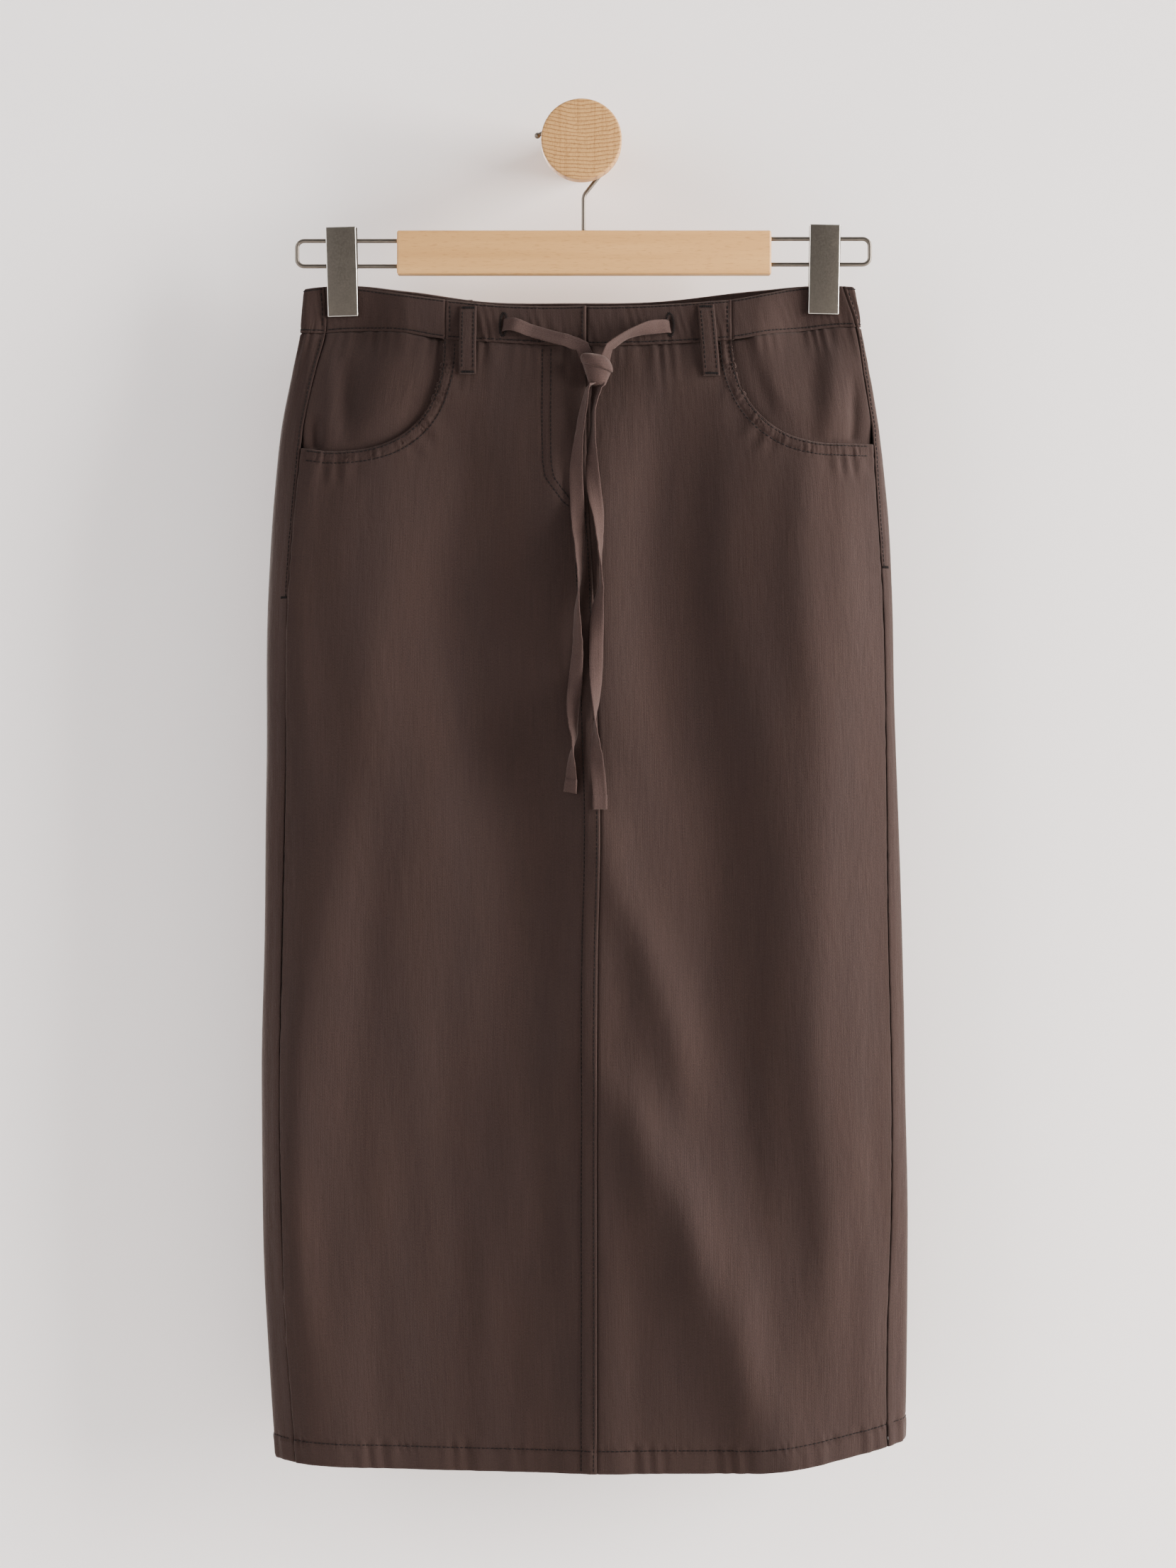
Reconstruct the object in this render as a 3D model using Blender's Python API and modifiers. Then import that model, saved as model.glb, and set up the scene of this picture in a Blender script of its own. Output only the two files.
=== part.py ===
"""A midi skirt hung by two clips from a bar hanger, on a round wall peg.

Units are metres, +Z is up and the front faces -Y. The origin is the middle of
the peg's back, on the wall. The skirt is a ring of cloth: an angle goes round
it, 0 at the middle of the front, -90 degrees at the viewer's left fold, 90 at
the right fold and 180 at the middle of the back. Left and right are the viewer's.
"""

import bisect
import math

import bmesh
import bpy
import numpy as np
from mathutils import Vector, geometry

GAP = 0.0003                # between pieces that meet
HALF_GAP = GAP / 2

# The plane that the hanger and the side folds of the skirt lie in.
HANG_Y = -0.070

# Cloth.
CLOTH = 0.0015              # wall of a panel
BAND_PROUD = 0.0005         # the waistband stands this far out of the panels
BAND_INNER = 0.0019         # and reaches this far inside their outer face
OVERLAP_RISE = 0.0012       # the left end of the band lies over the right one
OVERLAP_WIDTH = 0.022
FELL_RISE = 0.0009          # the felled seam down the middle of the front
FELL_WIDTH = 0.0105
FELL_EDGE = 0.002
FELL_TOP = -0.268
FELL_EASE = 0.030
ROUNDNESS = 2.8             # power of the ring's outline: 2 is an ellipse
GIRTH = 0.2167              # metres of cloth to a radian, near enough
FRONT_STEP = 0.0155
FRONT_DROP = 0.029
BACK_STEP = 0.0240
BACK_DROP = 0.033
BAND_STEP = 0.0150
BAND_DROP = 0.0105
LINE_CLEAR = 0.45           # share of a step kept free beside a border or a fixed line
FOLD_FADE = 1.5             # folds and clips die away towards the side folds, the clips faster
CLIP_FADE = 2.5
ANGLE_PROBE = 0.004         # steps for the slope of the cloth, round it in radians
HEIGHT_PROBE = 0.001        # and up it in metres
RATE_PROBE = 0.002
CURVE_POINTS = 9            # along a pocket's curve
LEVEL_POINTS = 3            # and its level end
FACING_POINTS = 8

# Hip facings that show in the pocket openings.
FACING_INSET = CLOTH + 0.0009
FACING_WALL = 0.0012
FACING_LAP = 0.012          # how far a facing runs on behind the panel
FACING_BLEND = 0.024
FACING_SIDE_GAP = 0.0008    # between a facing and the side seam
FACING_DROP = 0.014
FACING_CORNER = 0.004       # its lower corner is cut off by this much
FACING_TOP = 0.92           # share of the curve that a facing follows
CURVE_CLEAR = 0.004         # from the last point of a pocket's curve to the band

# Belt loops.
LOOP_WIDTH = 0.0118
LOOP_WALL = 0.0016
LOOP_LIFT = 0.0010
LOOP_BOW = 0.0024
LOOP_ROWS = 8

# The tie, a flat ribbon.
TIE_WIDTH = 0.0098
TIE_WALL = 0.0014
TIE_CLEAR = 0.0004
TIE_STEP = 0.006

# The wooden bar.
BAR_LEFT, BAR_RIGHT = -0.1300, 0.1337
BAR_BOTTOM, BAR_TOP = -0.0926, -0.0617
BAR_DEPTH = 0.0135
BAR_ROUND = 0.0015

# Wire of the side loops and the hook.
WIRE = 0.0030
LOOP_CORNER = 0.0050
LOOP_TURN = 18              # degrees between the points of a bend

# Clips.
CLIP_WIDTH = 0.0215
CLIP_HEIGHT = 0.0633
CLIP_PLATE = 0.0030
CLIP_ROUND = 0.0008
CLIPPED = 0.0022            # the cloth's outer face, from the hanging plane, in a clip
CLIPPED_WIDTH = 0.0125      # half the width that a clip holds flat
CLIPPED_TOP, CLIPPED_BOTTOM = -0.1065, -0.1255
JAW = CLIPPED + BAND_PROUD + GAP
SADDLE_WIDTH = 0.0170
SADDLE_CLEAR = 0.0005

# The peg and the hook that rests on its neck.
PEG_RADIUS = 0.0283
PEG_NECK = 0.0160
PEG_FRONT = 0.0950
PEG_LIP = 0.0770
PEG_ROUND = 0.0015
PEG_SIDES = 48
HOOK_RADIUS = 0.0223        # of the wire's middle line, about a point below the peg's
HOOK_X, HOOK_Z = -0.0012, -0.0043
HOOK_END_ANGLE = math.radians(116.4)
HOOK_TIP = 0.0222
HOOK_TURN = math.radians(8)
STEM_X = 0.0015
STEM_BEND = -0.0365
STEM_EASE = 0.0030          # the bend is eased over this length


class Table:
    """Rows of sizes with named columns, read on a smooth curve through them."""

    def __init__(self, columns, rows):
        ordered = sorted(rows)
        self.columns = {name: index for index, name in enumerate(columns[1:])}
        self.keys = [row[0] for row in ordered]
        self.values = np.array([row[1:] for row in ordered])
        self.slopes = np.gradient(self.values, np.array(self.keys), axis=0)

    def at(self, key):
        key = min(max(key, self.keys[0]), self.keys[-1])
        above = min(max(bisect.bisect_right(self.keys, key), 1), len(self.keys) - 1)
        below = above - 1
        span = self.keys[above] - self.keys[below]
        t = (key - self.keys[below]) / span
        rise = self.values[above] - self.values[below]
        bend_in = self.slopes[below] * span - rise
        bend_out = rise - self.slopes[above] * span
        return self.values[below] + rise * t + t * (1 - t) * (bend_in * (1 - t) + bend_out * t)

    def get(self, column, key):
        return float(self.at(key)[self.columns[column]])


# The ring at each height: its side folds, the side seams on the front, and how
# far the middle of the front and back stand off the hanging plane.
SECTIONS = Table(("z", "left", "seam_left", "seam_right", "right", "front", "back"), [
    (-0.098, -0.1950, -0.1812, 0.1835, 0.1918, 0.0085, 0.0075),
    (-0.133, -0.1978, -0.1802, 0.1945, 0.1972, 0.0190, 0.0130),
    (-0.160, -0.2035, -0.1866, 0.1983, 0.2028, 0.0270, 0.0180),
    (-0.200, -0.2113, -0.1948, 0.2043, 0.2098, 0.0350, 0.0235),
    (-0.242, -0.2155, -0.1993, 0.2074, 0.2150, 0.0390, 0.0275),
    (-0.320, -0.2205, -0.2052, 0.2128, 0.2193, 0.0410, 0.0310),
    (-0.448, -0.2217, -0.2074, 0.2142, 0.2229, 0.0410, 0.0330),
    (-0.560, -0.2224, -0.2100, 0.2155, 0.2258, 0.0410, 0.0340),
    (-0.652, -0.2245, -0.2115, 0.2175, 0.2287, 0.0410, 0.0340),
    (-0.754, -0.2247, -0.2100, 0.2175, 0.2313, 0.0415, 0.0340),
    (-0.848, -0.2205, -0.2062, 0.2149, 0.2295, 0.0420, 0.0340),
    (-0.900, -0.2170, -0.2022, 0.2146, 0.2287, 0.0420, 0.0340),
    (-0.940, -0.2140, -0.1995, 0.2150, 0.2275, 0.0420, 0.0340),
])

# Heights of the cloth's cross edges, from the left fold (-1) to the right (1).
FRONT_EDGES = Table(("across", "waist", "band", "hem"), [
    (-1.00, -0.1025, -0.1335, -0.9243),
    (-0.93, -0.1010, -0.1340, -0.9263),
    (-0.86, -0.1005, -0.1330, -0.9275),
    (-0.79, -0.1020, -0.1326, -0.9283),
    (-0.64, -0.1068, -0.1343, -0.9296),
    (-0.50, -0.1106, -0.1392, -0.9306),
    (-0.30, -0.1148, -0.1421, -0.9314),
    (0.00, -0.1160, -0.1446, -0.9316),
    (0.27, -0.1148, -0.1436, -0.9314),
    (0.44, -0.1127, -0.1417, -0.9313),
    (0.56, -0.1105, -0.1393, -0.9305),
    (0.66, -0.1068, -0.1355, -0.9280),
    (0.81, -0.1012, -0.1320, -0.9220),
    (0.89, -0.1003, -0.1300, -0.9185),
    (0.95, -0.1005, -0.1293, -0.9155),
    (1.00, -0.1010, -0.1295, -0.9128),
])
BACK_EDGES = Table(("across", "waist", "band", "hem"), [
    (-1.00, -0.1025, -0.1335, -0.9243),
    (-0.86, -0.1000, -0.1320, -0.9255),
    (-0.64, -0.1028, -0.1345, -0.9262),
    (-0.30, -0.1106, -0.1415, -0.9266),
    (0.00, -0.1112, -0.1425, -0.9268),
    (0.30, -0.1104, -0.1415, -0.9262),
    (0.66, -0.1026, -0.1340, -0.9225),
    (0.89, -0.1000, -0.1298, -0.9165),
    (1.00, -0.1010, -0.1295, -0.9128),
])

# The right edge of the left front, which laps over the right front.
CENTRE_EDGE = Table(("z", "x"), [
    (-0.100, 0.0034),
    (-0.150, 0.0034),
    (-0.250, 0.0043),
    (-0.300, 0.0073),
    (-0.400, 0.0110),
    (-0.474, 0.0130),
    (-0.575, 0.0113),
    (-0.850, 0.0108),
    (-0.945, 0.0108),
])

# How a clip presses the cloth flat: fully within flat of its middle, then less.
CLIP_X = (-0.1688, 0.1710)
CLIP_PINCH = Table(("z", "hold", "flat", "fall"), [
    (-0.095, 1.00, CLIPPED_WIDTH, 0.0110),
    (-0.127, 1.00, CLIPPED_WIDTH, 0.0110),
    (-0.150, 0.65, 0.0100, 0.0200),
    (-0.180, 0.36, 0.0060, 0.0300),
    (-0.220, 0.12, 0.0030, 0.0380),
    (-0.260, 0.00, 0.0000, 0.0450),
])

# Folds: where the crest of each runs, how far it stands out (or in, below 0),
# and half its width.
FOLD = ("z", "x", "height", "spread")
FRONT_FOLDS = [
    # Broad trough left of the middle, narrowing lower down.
    Table(FOLD, [(-0.190, -0.070, 0.0000, 0.038), (-0.250, -0.076, -0.0080, 0.040),
                 (-0.350, -0.077, -0.0100, 0.042), (-0.450, -0.073, -0.0090, 0.040),
                 (-0.540, -0.050, -0.0060, 0.030), (-0.640, -0.040, -0.0040, 0.026),
                 (-0.800, -0.036, -0.0030, 0.024), (-0.940, -0.036, -0.0020, 0.024)]),
    # Crest that carries the middle seam.
    Table(FOLD, [(-0.180, 0.012, 0.0000, 0.018), (-0.300, 0.014, 0.0040, 0.018),
                 (-0.450, 0.009, 0.0045, 0.016), (-0.600, 0.010, 0.0030, 0.014),
                 (-0.940, 0.012, 0.0025, 0.014)]),
    # Trough right of the middle, running out to the right lower down.
    Table(FOLD, [(-0.180, 0.055, 0.0000, 0.016), (-0.250, 0.058, -0.0050, 0.017),
                 (-0.340, 0.062, -0.0060, 0.018), (-0.460, 0.083, -0.0050, 0.024),
                 (-0.580, 0.094, -0.0045, 0.025), (-0.700, 0.119, -0.0040, 0.022),
                 (-0.820, 0.155, 0.0000, 0.020)]),
    # Upper slanting crest on the right front.
    Table(FOLD, [(-0.430, 0.010, 0.0000, 0.013), (-0.517, 0.025, 0.0040, 0.013),
                 (-0.577, 0.049, 0.0040, 0.013), (-0.636, 0.069, 0.0030, 0.013),
                 (-0.690, 0.088, 0.0000, 0.013)]),
    # Lower slanting crest on the right front.
    Table(FOLD, [(-0.635, 0.012, 0.0000, 0.017), (-0.695, 0.042, 0.0050, 0.017),
                 (-0.753, 0.069, 0.0070, 0.018), (-0.812, 0.096, 0.0065, 0.018),
                 (-0.871, 0.118, 0.0050, 0.019), (-0.940, 0.150, 0.0030, 0.021)]),
    # Low crest that wanders down the left front.
    Table(FOLD, [(-0.220, -0.125, 0.0000, 0.016), (-0.338, -0.143, 0.0025, 0.016),
                 (-0.458, -0.158, 0.0030, 0.016), (-0.577, -0.188, 0.0035, 0.017),
                 (-0.695, -0.203, 0.0045, 0.018), (-0.783, -0.203, 0.0045, 0.018),
                 (-0.841, -0.188, 0.0035, 0.017), (-0.940, -0.170, 0.0020, 0.016)]),
    # Low straight crest beside it.
    Table(FOLD, [(-0.360, -0.125, 0.0000, 0.015), (-0.500, -0.125, 0.0020, 0.015),
                 (-0.700, -0.124, 0.0022, 0.015), (-0.900, -0.130, 0.0000, 0.015)]),
]
BACK_FOLDS = [
    Table(FOLD, [(-0.170, -0.080, 0.0000, 0.030), (-0.300, -0.088, -0.0060, 0.034),
                 (-0.520, -0.080, -0.0070, 0.034), (-0.760, -0.070, -0.0040, 0.030),
                 (-0.940, -0.066, -0.0020, 0.028)]),
    Table(FOLD, [(-0.180, 0.000, 0.0000, 0.022), (-0.330, 0.004, 0.0035, 0.022),
                 (-0.600, -0.004, 0.0040, 0.020), (-0.940, -0.010, 0.0025, 0.020)]),
    Table(FOLD, [(-0.180, 0.070, 0.0000, 0.024), (-0.300, 0.074, -0.0055, 0.026),
                 (-0.500, 0.086, -0.0060, 0.028), (-0.740, 0.110, -0.0035, 0.026),
                 (-0.940, 0.130, 0.0000, 0.026)]),
    Table(FOLD, [(-0.560, 0.020, 0.0000, 0.018), (-0.700, 0.046, 0.0045, 0.018),
                 (-0.840, 0.082, 0.0050, 0.020), (-0.940, 0.108, 0.0025, 0.022)]),
    Table(FOLD, [(-0.260, -0.150, 0.0000, 0.018), (-0.480, -0.160, 0.0035, 0.018),
                 (-0.760, -0.176, 0.0035, 0.018), (-0.940, -0.160, 0.0015, 0.018)]),
]

# Pocket openings: the curved edge of each front round a hip facing.
POCKETS = {
    "left": {"x": -0.1745, "z": -0.1390, "wide": 0.0775, "deep": 0.0800, "power": 2.5,
             "seam_z": -0.2165, "side": -1},
    "right": {"x": 0.1762, "z": -0.1390, "wide": 0.0707, "deep": 0.0743, "power": 2.2,
              "seam_z": -0.2130, "side": 1},
}

# Seams between the front and side pieces of the waistband.
BAND_SEAM_X = {"left": -0.0952, "right": 0.1054}

# Belt loops: the middle of the top and bottom edges.
BELT_LOOPS = {
    "belt_loop_front_left": {"top": (-0.0795, -0.1165), "bottom": (-0.0795, -0.1655), "back": False},
    "belt_loop_front_right": {"top": (0.0872, -0.1155), "bottom": (0.0910, -0.1665), "back": False},
    "belt_loop_back_left": {"top": (-0.0830, -0.1090), "bottom": (-0.0835, -0.1580), "back": True},
    "belt_loop_back_right": {"top": (0.0860, -0.1085), "bottom": (0.0870, -0.1575), "back": True},
}

# The tie: the middle line of each free stretch, how far it stands off the
# cloth, and its turn about that line in degrees (0 is flat to the front).
RIBBON = ("z", "x", "off", "turn")
TIE_TAILS = {
    "tie_tail_left": Table(RIBBON, [
        (-0.1762, 0.0050, 0.0030, -80), (-0.1880, 0.0025, 0.0014, -62),
        (-0.2122, -0.0014, 0.0006, -50), (-0.2344, -0.0032, 0.0003, -18),
        (-0.2530, -0.0028, 0.0003, 0), (-0.2723, -0.0020, 0.0003, 32),
        (-0.2900, -0.0010, 0.0003, 60), (-0.3100, -0.0008, 0.0003, 86),
        (-0.3309, -0.0022, 0.0003, 120), (-0.3575, -0.0020, 0.0003, 150),
        (-0.3796, -0.0036, 0.0003, 180), (-0.3949, -0.0042, 0.0003, 215),
        (-0.4111, -0.0034, 0.0003, 248), (-0.4215, -0.0026, 0.0003, 272),
        (-0.4328, -0.0046, 0.0003, 312), (-0.4470, -0.0056, 0.0003, 345),
        (-0.4574, -0.0070, 0.0003, 360)]),
    "tie_tail_right": Table(RIBBON, [
        (-0.1770, 0.0112, 0.0030, -45), (-0.1925, 0.0084, 0.0016, -70),
        (-0.2040, 0.0082, 0.0010, -72), (-0.2221, 0.0074, 0.0005, -44),
        (-0.2482, 0.0090, 0.0003, 0), (-0.2659, 0.0112, 0.0003, 35),
        (-0.2816, 0.0118, 0.0003, 58), (-0.3008, 0.0122, 0.0003, 84),
        (-0.3132, 0.0126, 0.0003, 98), (-0.3260, 0.0110, 0.0003, 132),
        (-0.3481, 0.0104, 0.0003, 178), (-0.3698, 0.0102, 0.0003, 195),
        (-0.3949, 0.0100, 0.0003, 240), (-0.4065, 0.0096, 0.0003, 268),
        (-0.4185, 0.0099, 0.0003, 294), (-0.4392, 0.0110, 0.0003, 337),
        (-0.4574, 0.0125, 0.0003, 357), (-0.4692, 0.0128, 0.0003, 360)]),
}
RUN = ("x", "z", "off", "turn")
TIE_RUNS = {
    "tie_run_left": Table(RUN, [
        (-0.0532, -0.1302, 0.0000, 0), (-0.0343, -0.1357, 0.0012, 6),
        (-0.0162, -0.1421, 0.0035, 8), (-0.0061, -0.1453, 0.0050, 4),
        (0.0004, -0.1480, 0.0060, 0)]),
    "tie_run_right": Table(RUN, [
        (0.0192, -0.1502, 0.0075, -66), (0.0314, -0.1416, 0.0060, -76),
        (0.0405, -0.1372, 0.0045, -62), (0.0480, -0.1346, 0.0035, -38),
        (0.0554, -0.1324, 0.0012, -12), (0.0608, -0.1314, 0.0000, 0)]),
}
KNOT_AT = (0.0100, -0.1617)
KNOT_OFF = 0.0085
KNOT_SIDES = 8
# Half width, half depth and height of the knot's cage, from its top down.
KNOT_ROWS = [(0.0090, 0.0055, 0.0130), (0.0135, 0.0088, 0.0070), (0.0125, 0.0090, -0.0010),
             (0.0070, 0.0065, -0.0135)]

# Side loops of wire: the end of each, and the heights of its two wires.
WIRE_LOOPS = {
    "wire_loop_left": {"bar": BAR_LEFT, "end": -0.2021, "top": -0.0685, "bottom": -0.0864},
    "wire_loop_right": {"bar": BAR_RIGHT, "end": 0.2048, "top": -0.0671, "bottom": -0.0851},
}
CLIPS = {
    "left": {"x": CLIP_X[0], "z": -0.09075, "tilt": math.radians(-1.6), "loop": "wire_loop_left"},
    "right": {"x": CLIP_X[1], "z": -0.08910, "tilt": math.radians(1.1), "loop": "wire_loop_right"},
}

COLOURS = {
    "cloth": ((0.062, 0.040, 0.032), 0.90, 0.0),
    "tie": ((0.085, 0.055, 0.046), 0.85, 0.0),
    "beech": ((0.66, 0.45, 0.28), 0.55, 0.0),
    "nickel": ((0.40, 0.38, 0.35), 0.35, 1.0),
    "wire": ((0.55, 0.53, 0.50), 0.30, 1.0),
}


def smooth(start, end, value):
    """0 before start, 1 after end, and an even S between."""
    t = min(max((value - start) / (end - start), 0.0), 1.0)
    return t * t * (3 - 2 * t)


def relief(folds, x, z):
    """How far the folds lift the cloth at a place."""
    total = 0.0
    for fold in folds:
        crest, height, spread = fold.at(z)
        total += height * math.exp(-0.5 * ((x - crest) / spread) ** 2)
    return total


def pinch(x, z):
    """How firmly the clips hold the cloth: 1 in the jaws, 0 away from them."""
    hold, flat, fall = CLIP_PINCH.at(z)
    nearest = min(abs(x - clip) for clip in CLIP_X)
    return min(hold, 1.0) * (1 - smooth(flat, flat + fall, nearest))


def ring_x(angle, z):
    row = SECTIONS.at(z)
    left, right = row[0], row[3]
    return (left + right) / 2 + (right - left) / 2 * math.sin(angle)


def surface(angle, z):
    """A point of the cloth's outer face."""
    row = SECTIONS.at(z)
    left, right, front, back = row[0], row[3], row[4], row[5]
    across = math.sin(angle)
    x = (left + right) / 2 + (right - left) / 2 * across
    edge = max(1 - abs(across) ** ROUNDNESS, 0.0) ** (1 / ROUNDNESS)
    on_front = math.cos(angle) >= 0
    depth = front if on_front else back
    folds = FRONT_FOLDS if on_front else BACK_FOLDS
    swell = depth * edge + relief(folds, x, z) * min(edge * FOLD_FADE, 1.0)
    held = pinch(x, z)
    swell = swell * (1 - held) + CLIPPED * held * min(edge * CLIP_FADE, 1.0)
    return Vector((x, HANG_Y - swell if on_front else HANG_Y + swell, z))


def outward(angle, z):
    """The direction out of the cloth."""
    around = surface(angle + ANGLE_PROBE, z) - surface(angle - ANGLE_PROBE, z)
    upward = surface(angle, z + HEIGHT_PROBE) - surface(angle, z - HEIGHT_PROBE)
    return around.cross(upward).normalized()


def lifted(angle, z, off):
    return surface(angle, z) + outward(angle, z) * off


def angle_at(x, z, back=False):
    """The angle of a place given by its x, on the front or the back."""
    row = SECTIONS.at(z)
    across = (x - (row[0] + row[3]) / 2) / ((row[3] - row[0]) / 2)
    angle = math.asin(min(max(across, -1.0), 1.0))
    return math.pi - angle if back else angle


def along(angle, z, distance):
    """The angle reached by going a real distance round the ring."""
    way = surface(angle + RATE_PROBE, z) - surface(angle - RATE_PROBE, z)
    return angle + distance * 2 * RATE_PROBE / way.length


def edge_height(edge, angle):
    """Height of the waist, band or hem edge at an angle."""
    table = FRONT_EDGES if math.cos(angle) >= 0 else BACK_EDGES
    return table.get(edge, math.sin(angle))


def side_seam(side, shift):
    """A side seam, as the angle at each height, moved sideways by shift."""
    column = "seam_left" if side < 0 else "seam_right"
    return lambda z: along(angle_at(SECTIONS.get(column, z), z), z, shift)


def centre_seam(shift):
    """The left front's edge, where it laps over the right front."""
    return lambda z: along(angle_at(CENTRE_EDGE.get("x", z), z), z, shift)


def past_back(line):
    """The same line, counted on round the back."""
    return lambda z: line(z) + 2 * math.pi


def meeting(line, edge):
    """The angle at which an upright line meets a cross edge."""
    angle = line(edge_height(edge, 0.0))
    for _ in range(3):
        angle = line(edge_height(edge, angle))
    return angle


def spaced(start, end, step):
    """Evenly spaced values from start to end, about a step apart."""
    count = max(int(round(abs(end - start) / step)), 1)
    return [start + (end - start) * i / count for i in range(count + 1)]


def upright(line, start_z, end_z, step):
    """The places of an upright line between two heights."""
    return [(line(z), z) for z in spaced(start_z, end_z, step)]


def crosswise(edge, start, end, shift, step):
    """An edge that runs across from one angle to another, moved up by shift."""
    return [(angle, edge_height(edge, angle) + shift) for angle in spaced(start, end, step / GIRTH)]


def inside(points, outline):
    """Which points lie within a closed outline."""
    result = np.zeros(len(points), dtype=bool)
    ring = np.array(outline)
    for start, end in zip(ring, np.roll(ring, -1, axis=0)):
        crosses = (start[1] > points[:, 1]) != (end[1] > points[:, 1])
        rise = end[1] - start[1] if end[1] != start[1] else 1.0
        at = start[0] + (points[:, 1] - start[1]) / rise * (end[0] - start[0])
        result ^= crosses & (points[:, 0] < at)
    return result


def nearest_edge(points, outline):
    """How far each point lies from a closed outline."""
    best = np.full(len(points), 1e9)
    ring = np.array(outline)
    for start, end in zip(ring, np.roll(ring, -1, axis=0)):
        run = end - start
        length = max(float(run @ run), 1e-12)
        t = np.clip((points - start) @ run / length, 0, 1)
        best = np.minimum(best, np.linalg.norm(points - start - t[:, None] * run, axis=1))
    return best


def fill_points(outline, step, drop, lines):
    """Points of an even grid inside an outline and clear of the given lines."""
    ring = np.array(outline)
    low, high = ring.min(axis=0), ring.max(axis=0)
    rows = spaced(low[1], high[1], drop)[1:-1]
    grid = [(u, z) for u in spaced(low[0], high[0], step)[1:-1] for z in rows]
    if not grid:
        return []
    points = np.array(grid)
    clear = LINE_CLEAR * min(step, drop)
    keep = inside(points, outline) & (nearest_edge(points, outline) > clear)
    for line in lines:
        there = np.array(line)
        gaps = np.linalg.norm(points[:, None, :] - there[None, :, :], axis=2).min(axis=1)
        keep &= gaps > clear
    return [tuple(point) for point in points[keep]]


def sheet_faces(outline, step, drop, lines):
    """Triangles over an outline of (angle, z) places, with lines kept as edges."""
    border = [(angle * GIRTH, z) for angle, z in outline]
    kept_lines = [[(angle * GIRTH, z) for angle, z in line] for line in lines]
    points = list(border)
    edges = []
    for line in kept_lines:
        first = len(points)
        points.extend(line)
        edges.extend((first + i, first + i + 1) for i in range(len(line) - 1))
    points.extend(fill_points(border, step, drop, kept_lines))
    flat = [Vector(point) for point in points]
    found = geometry.delaunay_2d_cdt(flat, edges, [list(range(len(border)))], 1, 1e-7)
    places = [(point.x / GIRTH, point.y) for point in found[0]]
    return places, [tuple(face) for face in found[2]]


def closed_wall(name, outer, inner, faces):
    """A wall from matching outer and inner points, closed along its border."""
    mesh = bmesh.new()
    front = [mesh.verts.new(point) for point in outer]
    rear = [mesh.verts.new(point) for point in inner]
    ways = set()
    for face in faces:
        mesh.faces.new([front[i] for i in face])
        mesh.faces.new([rear[i] for i in reversed(face)])
        ways.update(zip(face, face[1:] + face[:1]))
    for start, end in ways:
        if (end, start) not in ways:
            mesh.faces.new((front[end], front[start], rear[start], rear[end]))
    data = bpy.data.meshes.new(name)
    mesh.to_mesh(data)
    mesh.free()
    return data


def cloth_piece(name, outline, step, drop, rise, inner, lines=()):
    """A piece of cloth over an outline: rise and inner give how far its two
    faces lie out of and inside the ring's surface."""
    places, faces = sheet_faces(outline, step, drop, lines)
    outer_points = []
    inner_points = []
    for angle, z in places:
        point = surface(angle, z)
        way = outward(angle, z)
        outer_points.append(point + way * rise(angle, z))
        inner_points.append(point - way * inner(angle, z))
    data = closed_wall(name, outer_points, inner_points, faces)
    return add_object(name, data, "cloth")


def material(kind):
    if kind in bpy.data.materials:
        return bpy.data.materials[kind]
    colour, roughness, metallic = COLOURS[kind]
    made = bpy.data.materials.new(kind)
    made.use_nodes = True
    shader = made.node_tree.nodes["Principled BSDF"]
    shader.inputs["Base Color"].default_value = (*colour, 1.0)
    shader.inputs["Roughness"].default_value = roughness
    shader.inputs["Metallic"].default_value = metallic
    return made


def add_object(name, data, kind):
    data.materials.append(material(kind))
    made = bpy.data.objects.new(name, data)
    PARTS.objects.link(made)
    return made


def no_rise(_angle, _z):
    return 0.0


def panel_inner(_angle, _z):
    return CLOTH


def band_inner(_angle, _z):
    return BAND_INNER


def band_rise(_angle, _z):
    return BAND_PROUD


def from_edge(angle, z):
    """How far in from the left front's edge a place lies."""
    return CENTRE_EDGE.get("x", z) - ring_x(angle, z)


def overlap_rise(angle, z):
    """The left band's end rises where it lies over the right one."""
    return BAND_PROUD + OVERLAP_RISE * (1 - smooth(0.0, OVERLAP_WIDTH, from_edge(angle, z)))


def fell_rise(angle, z):
    """The felled seam stands out along the left front's edge."""
    wide = 1 - smooth(FELL_WIDTH, FELL_WIDTH + FELL_EDGE, from_edge(angle, z))
    return FELL_RISE * wide * smooth(FELL_TOP + FELL_EASE, FELL_TOP, z)


def pocket_edge(pocket, grow, start, end, count):
    """The curved pocket edge from its seam end (0) to its top (1), as places."""
    power = 2 / pocket["power"]
    points = []
    for turn in spaced(start, end, (end - start) / count):
        lower = math.sin((1 - turn) * math.pi / 2)
        outer = math.cos((1 - turn) * math.pi / 2)
        reach = pocket["wide"] + grow
        x = pocket["x"] - pocket["side"] * reach * outer ** power
        z = pocket["z"] - (pocket["deep"] + grow) * lower ** power
        points.append((angle_at(x, z), z))
    return points


def pocket_side(pocket):
    """The pocket edge's level end, from the side seam to the curve."""
    start = side_seam(pocket["side"], 0.0)(pocket["seam_z"])
    end_z = pocket["z"] - pocket["deep"]
    end = angle_at(pocket["x"], end_z)
    points = []
    for i in range(LEVEL_POINTS):
        t = i / LEVEL_POINTS
        z = pocket["seam_z"] + (end_z - pocket["seam_z"]) * smooth(0, 1, t)
        points.append((start + (end - start) * t, z))
    return points


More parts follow.
